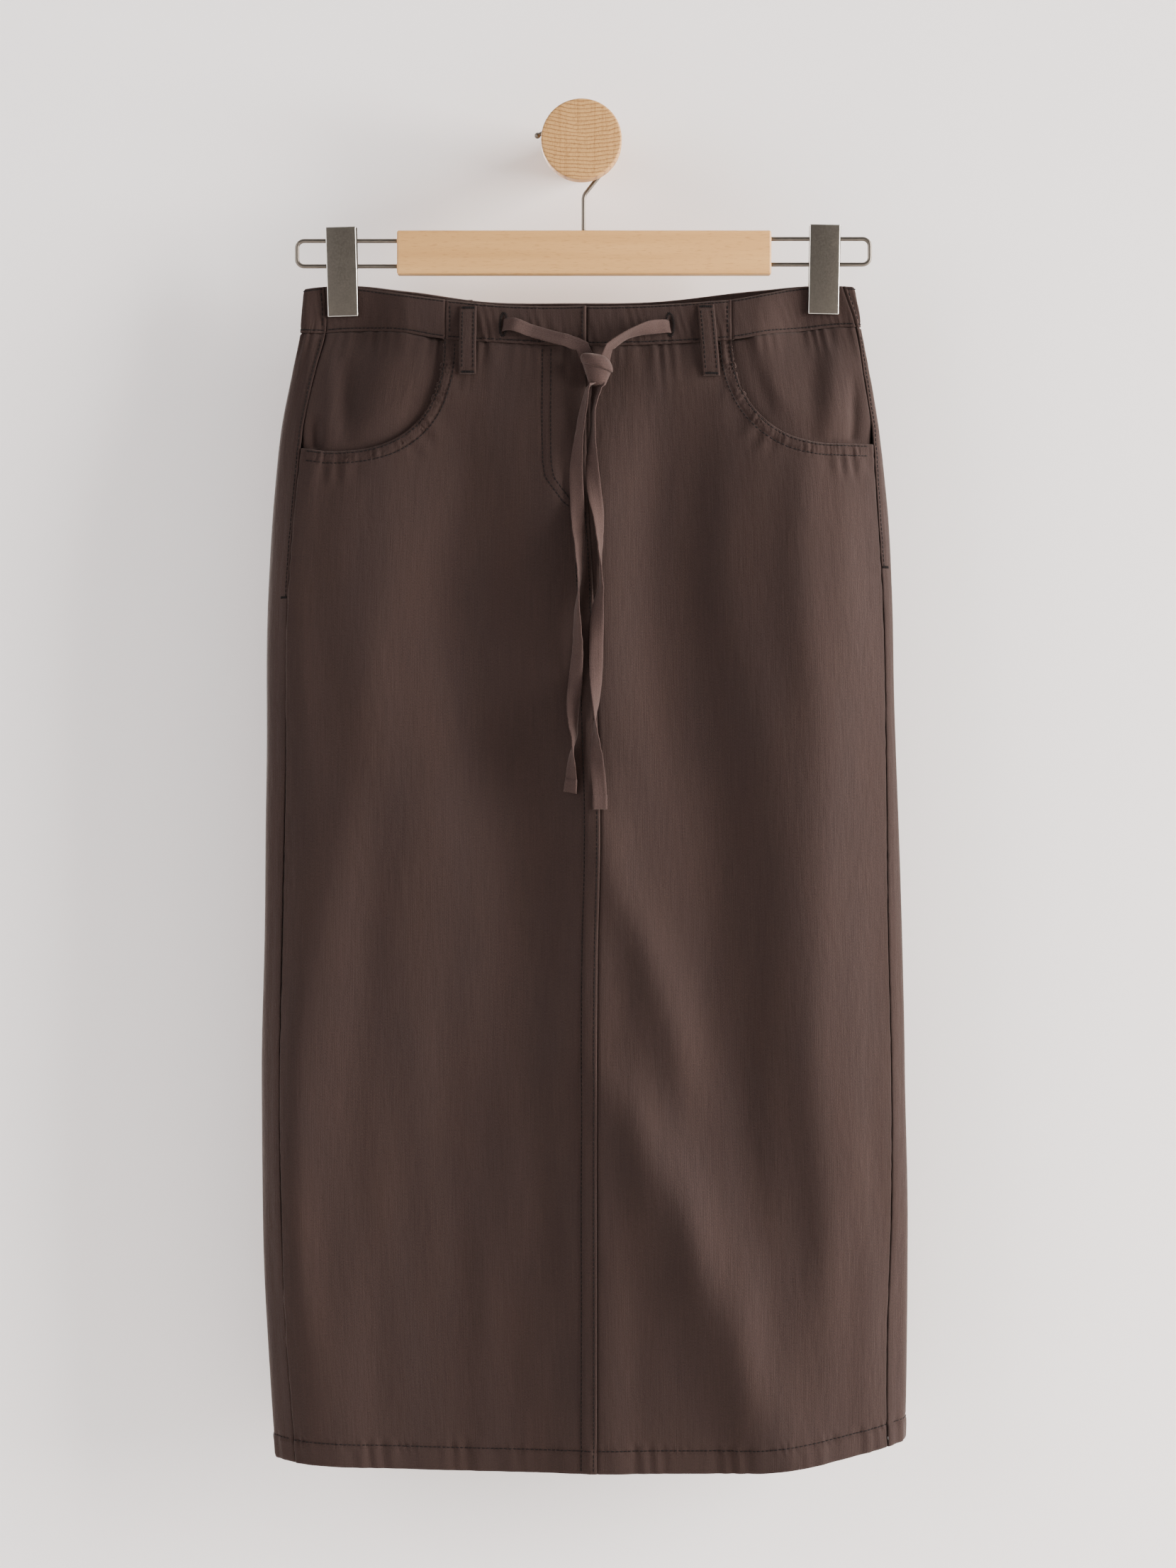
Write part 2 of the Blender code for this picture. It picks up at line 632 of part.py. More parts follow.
def front_panel(side):
    """A front: band edge, middle edge, hem, side seam and pocket edge."""
    pocket = POCKETS[side]
    way = pocket["side"]
    centre_line = centre_seam(HALF_GAP * way)
    side_line = side_seam(way, -HALF_GAP * way)
    band_start = angle_at(pocket["x"] - way * pocket["wide"], pocket["z"])
    band = crosswise("band", band_start, meeting(centre_line, "band"), -HALF_GAP, FRONT_STEP)
    hem = crosswise("hem", meeting(centre_line, "hem"), meeting(side_line, "hem"), 0.0, FRONT_STEP)
    centre = upright(centre_line, band[-1][1], hem[0][1], FRONT_DROP)
    seam = upright(side_line, hem[-1][1], pocket["seam_z"], FRONT_DROP)
    curve = pocket_edge(pocket, 0.0, 0.0, 1.0, CURVE_POINTS)
    curve = [place for place in curve if place[1] < band[0][1] - CURVE_CLEAR]
    outline = band + centre[1:] + hem[1:-1] + seam + pocket_side(pocket)[1:] + curve
    lines = []
    rise = no_rise
    if side == "left":
        rise = fell_rise
        for inset in (FELL_WIDTH, FELL_WIDTH + FELL_EDGE):
            fell_line = centre_seam(-inset - HALF_GAP)
            lines.append(upright(fell_line, FELL_TOP + FELL_EASE, hem[0][1] + FRONT_STEP, FRONT_DROP))
    else:
        outline = outline[::-1]
    return cloth_piece("front_panel_" + side, outline, FRONT_STEP, FRONT_DROP, rise, panel_inner, lines)


def back_panel():
    """The back, which comes round both folds to the seams on the front."""
    right_line = side_seam(1, HALF_GAP)
    left_line = past_back(side_seam(-1, -HALF_GAP))
    band = crosswise("band", meeting(left_line, "band"), meeting(right_line, "band"), -HALF_GAP, BACK_STEP)
    hem = crosswise("hem", meeting(right_line, "hem"), meeting(left_line, "hem"), 0.0, BACK_STEP)
    right = upright(right_line, band[-1][1], hem[0][1], BACK_DROP)
    left = upright(left_line, hem[-1][1], band[0][1], BACK_DROP)
    outline = (band + right[1:] + hem[1:] + left[1:-1])[::-1]
    return cloth_piece("back_panel", outline, BACK_STEP, BACK_DROP, no_rise, panel_inner)


def clip_lines(clip_x, back):
    """Lines in the band at the sides of what a clip holds flat."""
    lines = []
    for shift in (-CLIPPED_WIDTH, CLIPPED_WIDTH):
        heights = spaced(CLIPPED_TOP, CLIPPED_BOTTOM, BAND_DROP)
        lines.append([(angle_at(clip_x + shift, z, back), z) for z in heights])
    return lines


def band_piece(name, first, last, rise, lines=()):
    """A stretch of waistband between two upright lines."""
    bottom = crosswise("band", meeting(first, "band"), meeting(last, "band"), HALF_GAP, BAND_STEP)
    top = crosswise("waist", meeting(last, "waist"), meeting(first, "waist"), 0.0, BAND_STEP)
    end = upright(last, bottom[-1][1], top[0][1], BAND_DROP)
    start = upright(first, top[-1][1], bottom[0][1], BAND_DROP)
    outline = bottom[:-1] + end + top[1:-1] + start[:-1]
    return cloth_piece(name, outline, BAND_STEP, BAND_DROP, rise, band_inner, lines)


def waistband():
    """Five pieces of band, from the left side seam round to it again."""
    def joint(side, shift):
        return lambda z: along(angle_at(BAND_SEAM_X[side], z), z, shift)

    left_clip, right_clip = CLIP_X
    back_lines = clip_lines(left_clip, True) + clip_lines(right_clip, True)
    band_piece("waistband_side_left", side_seam(-1, HALF_GAP), joint("left", -HALF_GAP), band_rise,
               [clip_lines(left_clip, False)[1]])
    band_piece("waistband_front_left", joint("left", HALF_GAP), centre_seam(-HALF_GAP), overlap_rise)
    band_piece("waistband_front_right", centre_seam(HALF_GAP), joint("right", -HALF_GAP), band_rise)
    band_piece("waistband_side_right", joint("right", HALF_GAP), side_seam(1, -HALF_GAP), band_rise,
               clip_lines(right_clip, False))
    band_piece("waistband_back", side_seam(1, HALF_GAP), past_back(side_seam(-1, -HALF_GAP)), band_rise,
               back_lines)


def pocket_facing(side):
    """The hip piece that shows in a pocket opening and runs behind its edge."""
    pocket = POCKETS[side]
    way = pocket["side"]

    def depth_inside(angle, z):
        wide = abs(ring_x(angle, z) - pocket["x"]) / pocket["wide"]
        deep = max(pocket["z"] - z, 0.0) / pocket["deep"]
        if (ring_x(angle, z) - pocket["x"]) * way > 0:
            wide = 0.0
        reach = (wide ** pocket["power"] + deep ** pocket["power"]) ** (1 / pocket["power"])
        return (1 - reach) * pocket["deep"]

    def inset(angle, z):
        return FACING_INSET * (1 - smooth(0.0, FACING_BLEND, depth_inside(angle, z)))

    side_line = side_seam(way, -way * FACING_SIDE_GAP)
    band_start = angle_at(pocket["x"] - way * (pocket["wide"] + FACING_LAP), pocket["z"])
    band = crosswise("band", band_start, meeting(side_line, "band"), -HALF_GAP, FRONT_STEP)
    seam = upright(side_line, band[-1][1], pocket["seam_z"], FACING_DROP)
    low = pocket_edge(pocket, FACING_LAP, 0.0, FACING_TOP, FACING_POINTS)
    corner = (along(seam[-1][0], pocket["seam_z"], -way * FACING_CORNER), pocket["seam_z"] - FACING_CORNER)
    outline = band + seam[1:] + [corner, (corner[0], low[0][1])] + low
    if way < 0:
        outline = outline[::-1]
    return cloth_piece(
        "pocket_facing_" + side, outline[::-1], FRONT_STEP, FACING_DROP,
        lambda angle, z: -inset(angle, z), lambda angle, z: inset(angle, z) + FACING_WALL)


def loft(name, sections, kind):
    """A closed solid through rings of equal numbers of points."""
    mesh = bmesh.new()
    rings = [[mesh.verts.new(point) for point in ring] for ring in sections]
    count = len(rings[0])
    for near, far in zip(rings, rings[1:]):
        for i in range(count):
            j = (i + 1) % count
            mesh.faces.new((near[i], near[j], far[j], far[i]))
    mesh.faces.new(rings[0][::-1])
    mesh.faces.new(rings[-1])
    bmesh.ops.recalc_face_normals(mesh, faces=mesh.faces)
    data = bpy.data.meshes.new(name)
    mesh.to_mesh(data)
    mesh.free()
    return add_object(name, data, kind)


def belt_loop(name, place):
    """A flat loop, sewn down at both ends and bowed out between."""
    sections = []
    for i in range(LOOP_ROWS + 1):
        t = i / LOOP_ROWS
        x = place["top"][0] + (place["bottom"][0] - place["top"][0]) * t
        z = place["top"][1] + (place["bottom"][1] - place["top"][1]) * t
        lift = LOOP_LIFT + LOOP_BOW * math.sin(math.pi * t)
        middle = angle_at(x, z, place["back"])
        left = along(middle, z, -LOOP_WIDTH / 2)
        right = along(middle, z, LOOP_WIDTH / 2)
        sections.append([
            lifted(left, z, lift), lifted(middle, z, lift), lifted(right, z, lift),
            lifted(right, z, lift + LOOP_WALL), lifted(middle, z, lift + LOOP_WALL),
            lifted(left, z, lift + LOOP_WALL)])
    return loft(name, sections, "cloth")


def ribbon(name, places, turns):
    """A flat ribbon along (middle, way out) places, turned about its own line."""
    sections = []
    for i, ((centre, away), turn) in enumerate(zip(places, turns)):
        before = places[max(i - 1, 0)][0]
        after = places[min(i + 1, len(places) - 1)][0]
        run = (after - before).normalized()
        flat = run.cross(away).normalized()
        out = flat.cross(run).normalized()
        across = flat * math.cos(turn) + out * math.sin(turn)
        face = across.cross(run).normalized()
        half = across * TIE_WIDTH / 2
        thick = face * TIE_WALL / 2
        sections.append([centre - half - thick, centre + half - thick,
                         centre + half + thick, centre - half + thick])
    return loft(name, sections, "tie")


def tie_rise(angle, z):
    """How far the cloth under the tie stands out of the ring's surface."""
    lapped = from_edge(angle, z) > 0
    if z > edge_height("band", angle):
        return overlap_rise(angle, z) if lapped else BAND_PROUD
    return fell_rise(angle, z) if lapped else 0.0


def tie_place(x, z, off, turn):
    """The ribbon's middle, so that its nearer edge clears the cloth, and the way out."""
    angle = angle_at(x, z)
    sides = (angle_at(x - TIE_WIDTH / 2, z), angle, angle_at(x + TIE_WIDTH / 2, z))
    rise = max(tie_rise(side, z) for side in sides)
    reach = abs(math.sin(turn)) * TIE_WIDTH / 2 + TIE_WALL / 2
    return lifted(angle, z, rise + TIE_CLEAR + off + reach), outward(angle, z)


def tie_tail(name, table):
    places = []
    turns = []
    for z in spaced(table.keys[-1], table.keys[0], TIE_STEP):
        x, off, turn = table.at(z)
        turns.append(math.radians(turn))
        places.append(tie_place(x, z, off, turns[-1]))
    return ribbon(name, places, turns)


def tie_run(name, table):
    places = []
    turns = []
    for x in spaced(table.keys[0], table.keys[-1], TIE_STEP):
        z, off, turn = table.at(x)
        turns.append(math.radians(turn))
        places.append(tie_place(x, z, off, turns[-1]))
    return ribbon(name, places, turns)


def tie_knot():
    x, z = KNOT_AT
    base = surface(angle_at(x, z), z).y - TIE_CLEAR - KNOT_OFF
    sections = []
    for half_width, half_depth, height in KNOT_ROWS:
        ring = []
        for turn in spaced(0, 2 * math.pi, 2 * math.pi / KNOT_SIDES)[:-1]:
            ring.append(Vector((x + half_width * math.cos(turn), base + half_depth * math.sin(turn),
                                z + height)))
        sections.append(ring)
    made = loft("tie_knot", sections, "tie")
    soft = made.modifiers.new("soft", "SUBSURF")
    soft.levels = 1
    soft.render_levels = 1
    return made


def box(name, low, high, kind, round_edges):
    """A block between two corners, with rounded edges."""
    bpy.ops.mesh.primitive_cube_add(size=1)
    made = bpy.context.object
    made.name = name
    made.data.name = name
    size = Vector(high) - Vector(low)
    for vertex in made.data.vertices:
        vertex.co = Vector(a * b for a, b in zip(vertex.co, size))
    made.location = (Vector(low) + Vector(high)) / 2
    made.data.materials.append(material(kind))
    for owner in list(made.users_collection):
        owner.objects.unlink(made)
    PARTS.objects.link(made)
    if round_edges:
        bevel = made.modifiers.new("round", "BEVEL")
        bevel.width = round_edges
        bevel.segments = 2
    return made


def wire(name, points, kind):
    """A round wire along a list of points."""
    curve = bpy.data.curves.new(name, "CURVE")
    curve.dimensions = "3D"
    curve.bevel_depth = WIRE / 2
    curve.bevel_resolution = 2
    curve.use_fill_caps = True
    spline = curve.splines.new("POLY")
    spline.points.add(len(points) - 1)
    for target, point in zip(spline.points, points):
        target.co = (*point, 1.0)
    return add_object(name, curve, kind)


def hanger_bar():
    return box("hanger_bar", (BAR_LEFT, HANG_Y - BAR_DEPTH / 2, BAR_BOTTOM),
               (BAR_RIGHT, HANG_Y + BAR_DEPTH / 2, BAR_TOP), "beech", BAR_ROUND)


def wire_loop(name, place):
    """A narrow loop of wire out of the bar's end, with two round corners."""
    way = 1 if place["end"] > place["bar"] else -1
    start = place["bar"] + way * GAP
    bend_x = place["end"] - way * (WIRE / 2 + LOOP_CORNER)
    points = [(start, HANG_Y, place["top"])]
    corners = ((place["top"] - LOOP_CORNER, 90, 0), (place["bottom"] + LOOP_CORNER, 0, -90))
    for corner_z, first, last in corners:
        for turn in spaced(first, last, LOOP_TURN):
            angle = math.radians(turn)
            points.append((bend_x + way * LOOP_CORNER * math.cos(angle), HANG_Y,
                           corner_z + LOOP_CORNER * math.sin(angle)))
    points.append((start, HANG_Y, place["bottom"]))
    return wire(name, points, "wire")


def hanger_hook():
    """A stem out of the bar that leans right, turns over the neck and ends left."""
    across, down = STEM_X - HOOK_X, HOOK_Z - STEM_BEND
    lean = math.asin(HOOK_RADIUS / math.hypot(across, down)) - math.atan2(across, down)
    slant = Vector((math.sin(lean), 0, math.cos(lean)))
    bend = Vector((STEM_X, HANG_Y, STEM_BEND))
    points = [Vector((STEM_X, HANG_Y, BAR_TOP + GAP)), bend - Vector((0, 0, STEM_EASE)),
              bend + (slant - Vector((0, 0, 1))) * STEM_EASE / 4, bend + slant * STEM_EASE]
    for angle in spaced(-lean, HOOK_END_ANGLE, HOOK_TURN):
        points.append(Vector((HOOK_X + HOOK_RADIUS * math.cos(angle), HANG_Y,
                              HOOK_Z + HOOK_RADIUS * math.sin(angle))))
    way = Vector((-math.sin(HOOK_END_ANGLE), 0, math.cos(HOOK_END_ANGLE)))
    points.append(points[-1] + way * HOOK_TIP)
    return wire("hanger_hook", points, "wire")


def clip(side):
    """Two plates that grip the cloth, with a saddle between the wires."""
    place = CLIPS[side]
    loop = WIRE_LOOPS[place["loop"]]
    low_z = place["z"] - CLIP_HEIGHT / 2
    high_z = place["z"] + CLIP_HEIGHT / 2
    left = place["x"] - CLIP_WIDTH / 2
    right = place["x"] + CLIP_WIDTH / 2
    front = box("clip_front_" + side, (left, HANG_Y - JAW - CLIP_PLATE, low_z),
                (right, HANG_Y - JAW, high_z), "nickel", CLIP_ROUND)
    back = box("clip_back_" + side, (left, HANG_Y + JAW, low_z),
               (right, HANG_Y + JAW + CLIP_PLATE, high_z), "nickel", CLIP_ROUND)
    saddle_low = loop["bottom"] + WIRE / 2 + SADDLE_CLEAR
    saddle_high = loop["top"] - WIRE / 2 - SADDLE_CLEAR
    saddle = box("saddle_" + side, (place["x"] - SADDLE_WIDTH / 2, HANG_Y - JAW + GAP, saddle_low),
                 (place["x"] + SADDLE_WIDTH / 2, HANG_Y + JAW + CLIP_PLATE / 2, saddle_high), "nickel", 0)
    PARTS.objects.unlink(saddle)
    CUTTERS.objects.link(saddle)
    saddle.hide_render = True
    saddle.display_type = "WIRE"
    for piece in (front, back, saddle):
        piece.rotation_euler.y = place["tilt"]
    joined = back.modifiers.new("saddle", "BOOLEAN")
    joined.operation = "UNION"
    joined.object = saddle


def wall_peg():
    """A turned peg: a round head on a neck that stands on the wall."""
    profile = [(0, PEG_FRONT), (PEG_RADIUS - PEG_ROUND, PEG_FRONT), (PEG_RADIUS, PEG_FRONT - PEG_ROUND),
               (PEG_RADIUS, PEG_LIP), (PEG_NECK, PEG_LIP), (PEG_NECK, 0), (0, 0)]
    data = bpy.data.meshes.new("wall_peg")
    points = [(radius, 0, height) for radius, height in profile]
    data.from_pydata(points, [(i, i + 1) for i in range(len(points) - 1)], [])
    made = add_object("wall_peg", data, "beech")
    screw = made.modifiers.new("turn", "SCREW")
    screw.axis = "Z"
    screw.steps = PEG_SIDES
    screw.render_steps = PEG_SIDES
    screw.use_merge_vertices = True
    screw.merge_threshold = 0.00001
    screw.use_smooth_shade = False
    made.rotation_euler.x = math.radians(90)
    return made


def clear_scene():
    for old in list(bpy.data.objects):
        bpy.data.objects.remove(old, do_unlink=True)


def add_collection(name):
    made = bpy.data.collections.new(name)
    bpy.context.scene.collection.children.link(made)
    return made


clear_scene()
PARTS = add_collection("midi_skirt")
CUTTERS = add_collection("cutters")

for pocket_side_name in POCKETS:
    front_panel(pocket_side_name)
    pocket_facing(pocket_side_name)
back_panel()
waistband()
for loop_name, loop_place in BELT_LOOPS.items():
    belt_loop(loop_name, loop_place)
for tail_name, tail_table in TIE_TAILS.items():
    tie_tail(tail_name, tail_table)
for run_name, run_table in TIE_RUNS.items():
    tie_run(run_name, run_table)
tie_knot()
hanger_bar()
for wire_name, wire_place in WIRE_LOOPS.items():
    wire_loop(wire_name, wire_place)
hanger_hook()
for clip_side in CLIPS:
    clip(clip_side)
wall_peg()
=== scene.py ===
"""Looks of a midi skirt hung by two clips from a bar hanger on a wall peg.

Units are metres, +Z is up and the front faces -Y; the origin is the middle of
the peg's back, on the wall. The cloth is a ring: an angle goes round it, 0 at
the middle of the front, -90 degrees at the viewer's left fold, 90 at the right
fold and 180 at the middle of the back. Left and right are the viewer's.
"""
import math
from functools import partial

import bmesh
import bpy
import numpy as np
from mathutils import Matrix, Vector
from mathutils.bvhtree import BVHTree


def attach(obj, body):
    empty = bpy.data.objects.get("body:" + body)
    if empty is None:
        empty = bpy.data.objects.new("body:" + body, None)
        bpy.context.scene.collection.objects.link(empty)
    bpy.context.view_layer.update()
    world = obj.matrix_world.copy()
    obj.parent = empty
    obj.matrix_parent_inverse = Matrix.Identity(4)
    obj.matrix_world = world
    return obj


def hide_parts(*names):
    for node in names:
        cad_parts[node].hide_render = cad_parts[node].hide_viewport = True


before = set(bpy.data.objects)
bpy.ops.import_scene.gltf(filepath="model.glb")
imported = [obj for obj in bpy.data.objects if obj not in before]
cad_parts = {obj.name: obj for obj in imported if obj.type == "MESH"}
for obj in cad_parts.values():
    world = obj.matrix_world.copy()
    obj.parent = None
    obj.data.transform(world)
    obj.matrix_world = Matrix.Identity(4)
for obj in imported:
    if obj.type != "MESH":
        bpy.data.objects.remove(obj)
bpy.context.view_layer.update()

BODY = "root"
PLAIN = ("across", "hold", "turn")      # columns of shares and degrees

SEAM_LAP = 0.0009           # beside a seam the lower piece runs on under the upper one
UNDER = 0.0013              # and lies in by this much
ROLL = 0.0004               # while the upper one's edge is rolled,
EDGE, ROLL_WIDTH = 0.0012, 0.0009       # over these widths
DEEPER = 1.45               # the listed folds of the dressed cloth, against the solids'
HANG_Y = -0.070             # the plane of the hanger and of the skirt's side folds
ROUNDNESS = 2.8             # power of the ring's outline
FOLD_FADE, CLIP_FADE = 1.5, 2.5     # folds and clips die away towards the side folds
ANGLE_PROBE, HEIGHT_PROBE, RATE_PROBE = 0.004, 0.001, 0.002     # steps for slopes
COURSE_STEP, COURSE_REACH, CHUNK = 0.0008, 0.05, 4000       # for the distance to a line

# Cloth.
CLOTH_WALL = 0.0011
BAND_PROUD = 0.0005
BAND_WALL = 0.0021
WAIST_ROLL = 0.0009
RIM_RISE = 0.0011           # along the band's lap
SLOT_DEPTH = 0.0022         # of a buttonhole
OVERLAP_RISE = 0.0012
OVERLAP_WIDTH = 0.022
FELL_RISE = 0.0008
FELL_WIDTH = 0.0105
FELL_EDGE = 0.0012
FELL_TOP = -0.268
FELL_EASE = 0.030
FELL_END = -0.930            # its stitches stop short of the hem
FLY_GAP = 0.0060             # between the fly's two rows
HEM_DEPTH = 0.0160
HEM_PROUD, HEM_CURL, HEM_WAVE = 0.0005, 0.0006, 0.0006
CELL = 0.0020               # of the fine cloth mesh, across
CELL_DROP = 0.0062          # and down,
FINE_DROP = 0.0015          # with finer rows at the hem and the top
CURVE_CELL = 0.0012         # along a pocket's edge
BACK_CELL = 0.0034
BAND_CELL, BAND_TALL = 0.0014, 0.031
PANEL_TALL, FRONT_WIDE = 0.78, 0.21
FINE_HEM = 0.026            # how far the finer rows go up from the hem
FINE_FRONT, FINE_BACK = 0.110, 0.070        # and down from the band
FAN = 0.055                 # a front's columns spread out below its pocket over this height
CLIPPED = 0.0022            # how far off the hanging plane the jaws hold the cloth

# Stitches.
STITCH = 0.0024
STITCH_PITCH = 0.0031
THREAD = 0.00040
SETTLE = 0.0040
SUNK = 0.30                   # a stitch's middle lies this share of its radius off the cloth
STITCH_SIDES = 5
STITCH_RINGS = [(-0.5, 0.25), (-0.34, 0.95), (0.34, 0.95), (0.5, 0.25)]     # reach and girth
TACK, TACK_PITCH = 0.0018, 0.00085
POCKET_ROWS = (0.0016, 0.0083)
POCKET_PROUD, POCKET_ROLL = 0.0005, 0.0008
FELL_ROWS = (0.0022, FELL_WIDTH + 0.0006)
BAND_ROWS, BAND_ROW_END = (0.0022, 0.0017), 0.0015

# The bar, wire, clips, peg and tie.
BAR_LEFT, BAR_RIGHT = -0.1300, 0.1337
BAR_BOTTOM, BAR_TOP = -0.0926, -0.0617
BAR_DEPTH = 0.0135
BAR_ROUND = 0.0016
LOOP_WIDTH, LOOP_LIFT, LOOP_BOW = 0.0118, 0.0010, 0.0024
LOOP_ROW = 0.66             # its stitch rows, as a share of its half width
LOOP_TACK = 0.0046          # half the length of its bar tacks
WIRE = 0.0030
WIRE_CORNER = 0.0050
CLIP_WIDTH = 0.0213
CLIP_HEIGHT = 0.0633
CLIP_PLATE = 0.0030
HIGHLIGHT_LEAN = 0.9990              # a face that leans more than this is a bevel edge, coloured with a painted highlight
JAW = CLIPPED + BAND_PROUD + 0.0003
PEG_RADIUS = 0.0283
PEG_NECK = 0.0160
PEG_FRONT = 0.0950
PEG_LIP = 0.0770
PEG_ROUND = 0.0015
RING_MIDDLE, RING_RATE = (0.001, 0.0, 0.104), 2250.0        # of the year rings, radians a metre
HOOK_RADIUS = 0.0223
HOOK_X, HOOK_Z = -0.0012, -0.0043
HOOK_END_ANGLE = math.radians(116.4)
HOOK_TIP = 0.0222
HOOK_BALL = 0.0022
STEM_X = 0.0015
STEM_BEND = -0.0365
STEM_EASE = 0.0030
TIE_WIDTH = 0.0098
TIE_WALL = 0.0011
TIE_HEM = 0.0094             # the turned-up end of each tail
HEM_STEP = 0.0007
TIE_CLEAR = 0.0006
TIE_CUP, TIE_WAVE = 0.0005, 0.00025
RUN_PLACES, TAIL_PLACES, PATH_PLACES = 16, 90, 38       # along a run, a tail and the cord's path
# Across the ribbon: each place as a share of its half width, and its share of the wall.
RIBBON_SLICE = [(-1, 0.3), (-0.94, 0.8), (-0.6, 1.0), (0, 0.82), (0.6, 1.0), (0.94, 0.8), (1, 0.3)]

# Facings.
FACING_INSET = 0.0030
FACING_LAP = 0.012
FACING_BLEND = 0.020
FACING_WALL = 0.0010
FACING_CELL, FACING_DROP = 0.0013, 0.0021


class Table:
    """Rows of sizes in millimetres, shares or degrees, read on a smooth curve through them."""

    def __init__(self, columns, rows):
        ordered = np.array(sorted(rows)) / [1 if name in PLAIN else 1000 for name in columns]
        self.index = {name: i for i, name in enumerate(columns[1:])}
        self.keys = ordered[:, 0]
        self.values = ordered[:, 1:]
        self.slopes = np.gradient(self.values, self.keys, axis=0)

    def at(self, key):
        key = np.clip(np.asarray(key, dtype=float), self.keys[0], self.keys[-1])
        above = np.clip(np.searchsorted(self.keys, key, side="right"), 1, len(self.keys) - 1)
        below = above - 1
        span = (self.keys[above] - self.keys[below])[..., None]
        t = (key - self.keys[below])[..., None] / span
        rise = self.values[above] - self.values[below]
        bend_in = self.slopes[below] * span - rise
        bend_out = rise - self.slopes[above] * span
        return self.values[below] + rise * t + t * (1 - t) * (bend_in * (1 - t) + bend_out * t)

    def get(self, column, key):
        return self.at(key)[..., self.index[column]]


def fold(*rows):
    """A fold down the cloth: at each height where it runs, how far it stands out, half its width."""
    return Table(("z", "x", "height", "spread"), rows)


# The ring at each height: its side folds, the side seams on the front, and how
# far the middle of the front and back stand off the hanging plane.
SECTIONS = Table(("z", "left", "seam_left", "seam_right", "right", "front", "back"), [
    (-98, -195, -181.2, 183.5, 191.8, 8.5, 7.5), (-133, -197.8, -180.2, 194.5, 197.2, 19, 13),
    (-160, -203.5, -186.6, 198.3, 202.8, 27, 18), (-200, -211.3, -194.8, 204.3, 209.8, 35, 23.5),
    (-242, -215.5, -199.3, 207.4, 215, 39, 27.5), (-320, -220.5, -205.2, 212.8, 219.3, 41, 31),
    (-448, -221.7, -207.4, 214.2, 222.9, 41, 33), (-560, -222.4, -210, 215.5, 225.8, 41, 34),
    (-652, -224.5, -211.5, 217.5, 228.7, 41, 34), (-754, -224.7, -210, 217.5, 231.3, 41.5, 34),
    (-848, -220.5, -206.2, 214.9, 229.5, 42, 34), (-900, -217, -202.2, 214.6, 228.7, 42, 34),
    (-940, -214, -199.5, 215, 227.5, 42, 34)])

# Heights of the cloth's cross edges, from the left fold (-1) to the right (1).
FRONT_EDGES = Table(("across", "waist", "band", "hem"), [
    (-1, -102.5, -133.5, -924.3), (-0.93, -101, -134, -926.3), (-0.86, -100.5, -133, -927.5),
    (-0.79, -102, -132.6, -928.3), (-0.64, -106.8, -134.3, -929.6), (-0.5, -110.6, -139.2, -930.6),
    (-0.3, -114.8, -142.1, -931.4), (0, -116, -144.6, -931.6), (0.27, -114.8, -143.6, -931.4),
    (0.44, -112.7, -141.7, -931.3), (0.56, -110.5, -139.3, -930.5), (0.66, -106.8, -135.5, -928),
    (0.81, -101.2, -132, -922), (0.89, -100.3, -130, -918.5), (0.95, -100.5, -129.3, -915.5),
    (1, -101, -129.5, -912.8)])
BACK_EDGES = Table(("across", "waist", "band", "hem"), [
    (-1, -102.5, -133.5, -924.3), (-0.86, -100, -132, -925.5), (-0.64, -102.8, -134.5, -926.2),
    (-0.3, -110.6, -141.5, -926.6), (0, -111.2, -142.5, -926.8), (0.3, -110.4, -141.5, -926.2),
    (0.66, -102.6, -134, -922.5), (0.89, -100, -129.8, -916.5), (1, -101, -129.5, -912.8)])

# The right edge of the left front, which laps over the right front.
CENTRE_EDGE = Table(("z", "x"), [
    (-100, 3.4), (-150, 3.4), (-250, 4.3), (-300, 7.3), (-400, 11), (-474, 13), (-575, 11.3),
    (-850, 10.8), (-945, 10.8)])

# How a clip presses the cloth flat: fully within flat of its middle, then less.
CLIP_X = (-0.1688, 0.1710)
CLIP_PINCH = Table(("z", "hold", "flat", "fall"), [
    (-95, 1, 12.5, 34), (-127, 1, 12.5, 36), (-150, 0.4, 10, 38), (-180, 0.18, 6, 38),
    (-220, 0.05, 3, 42), (-260, 0, 0, 45)])

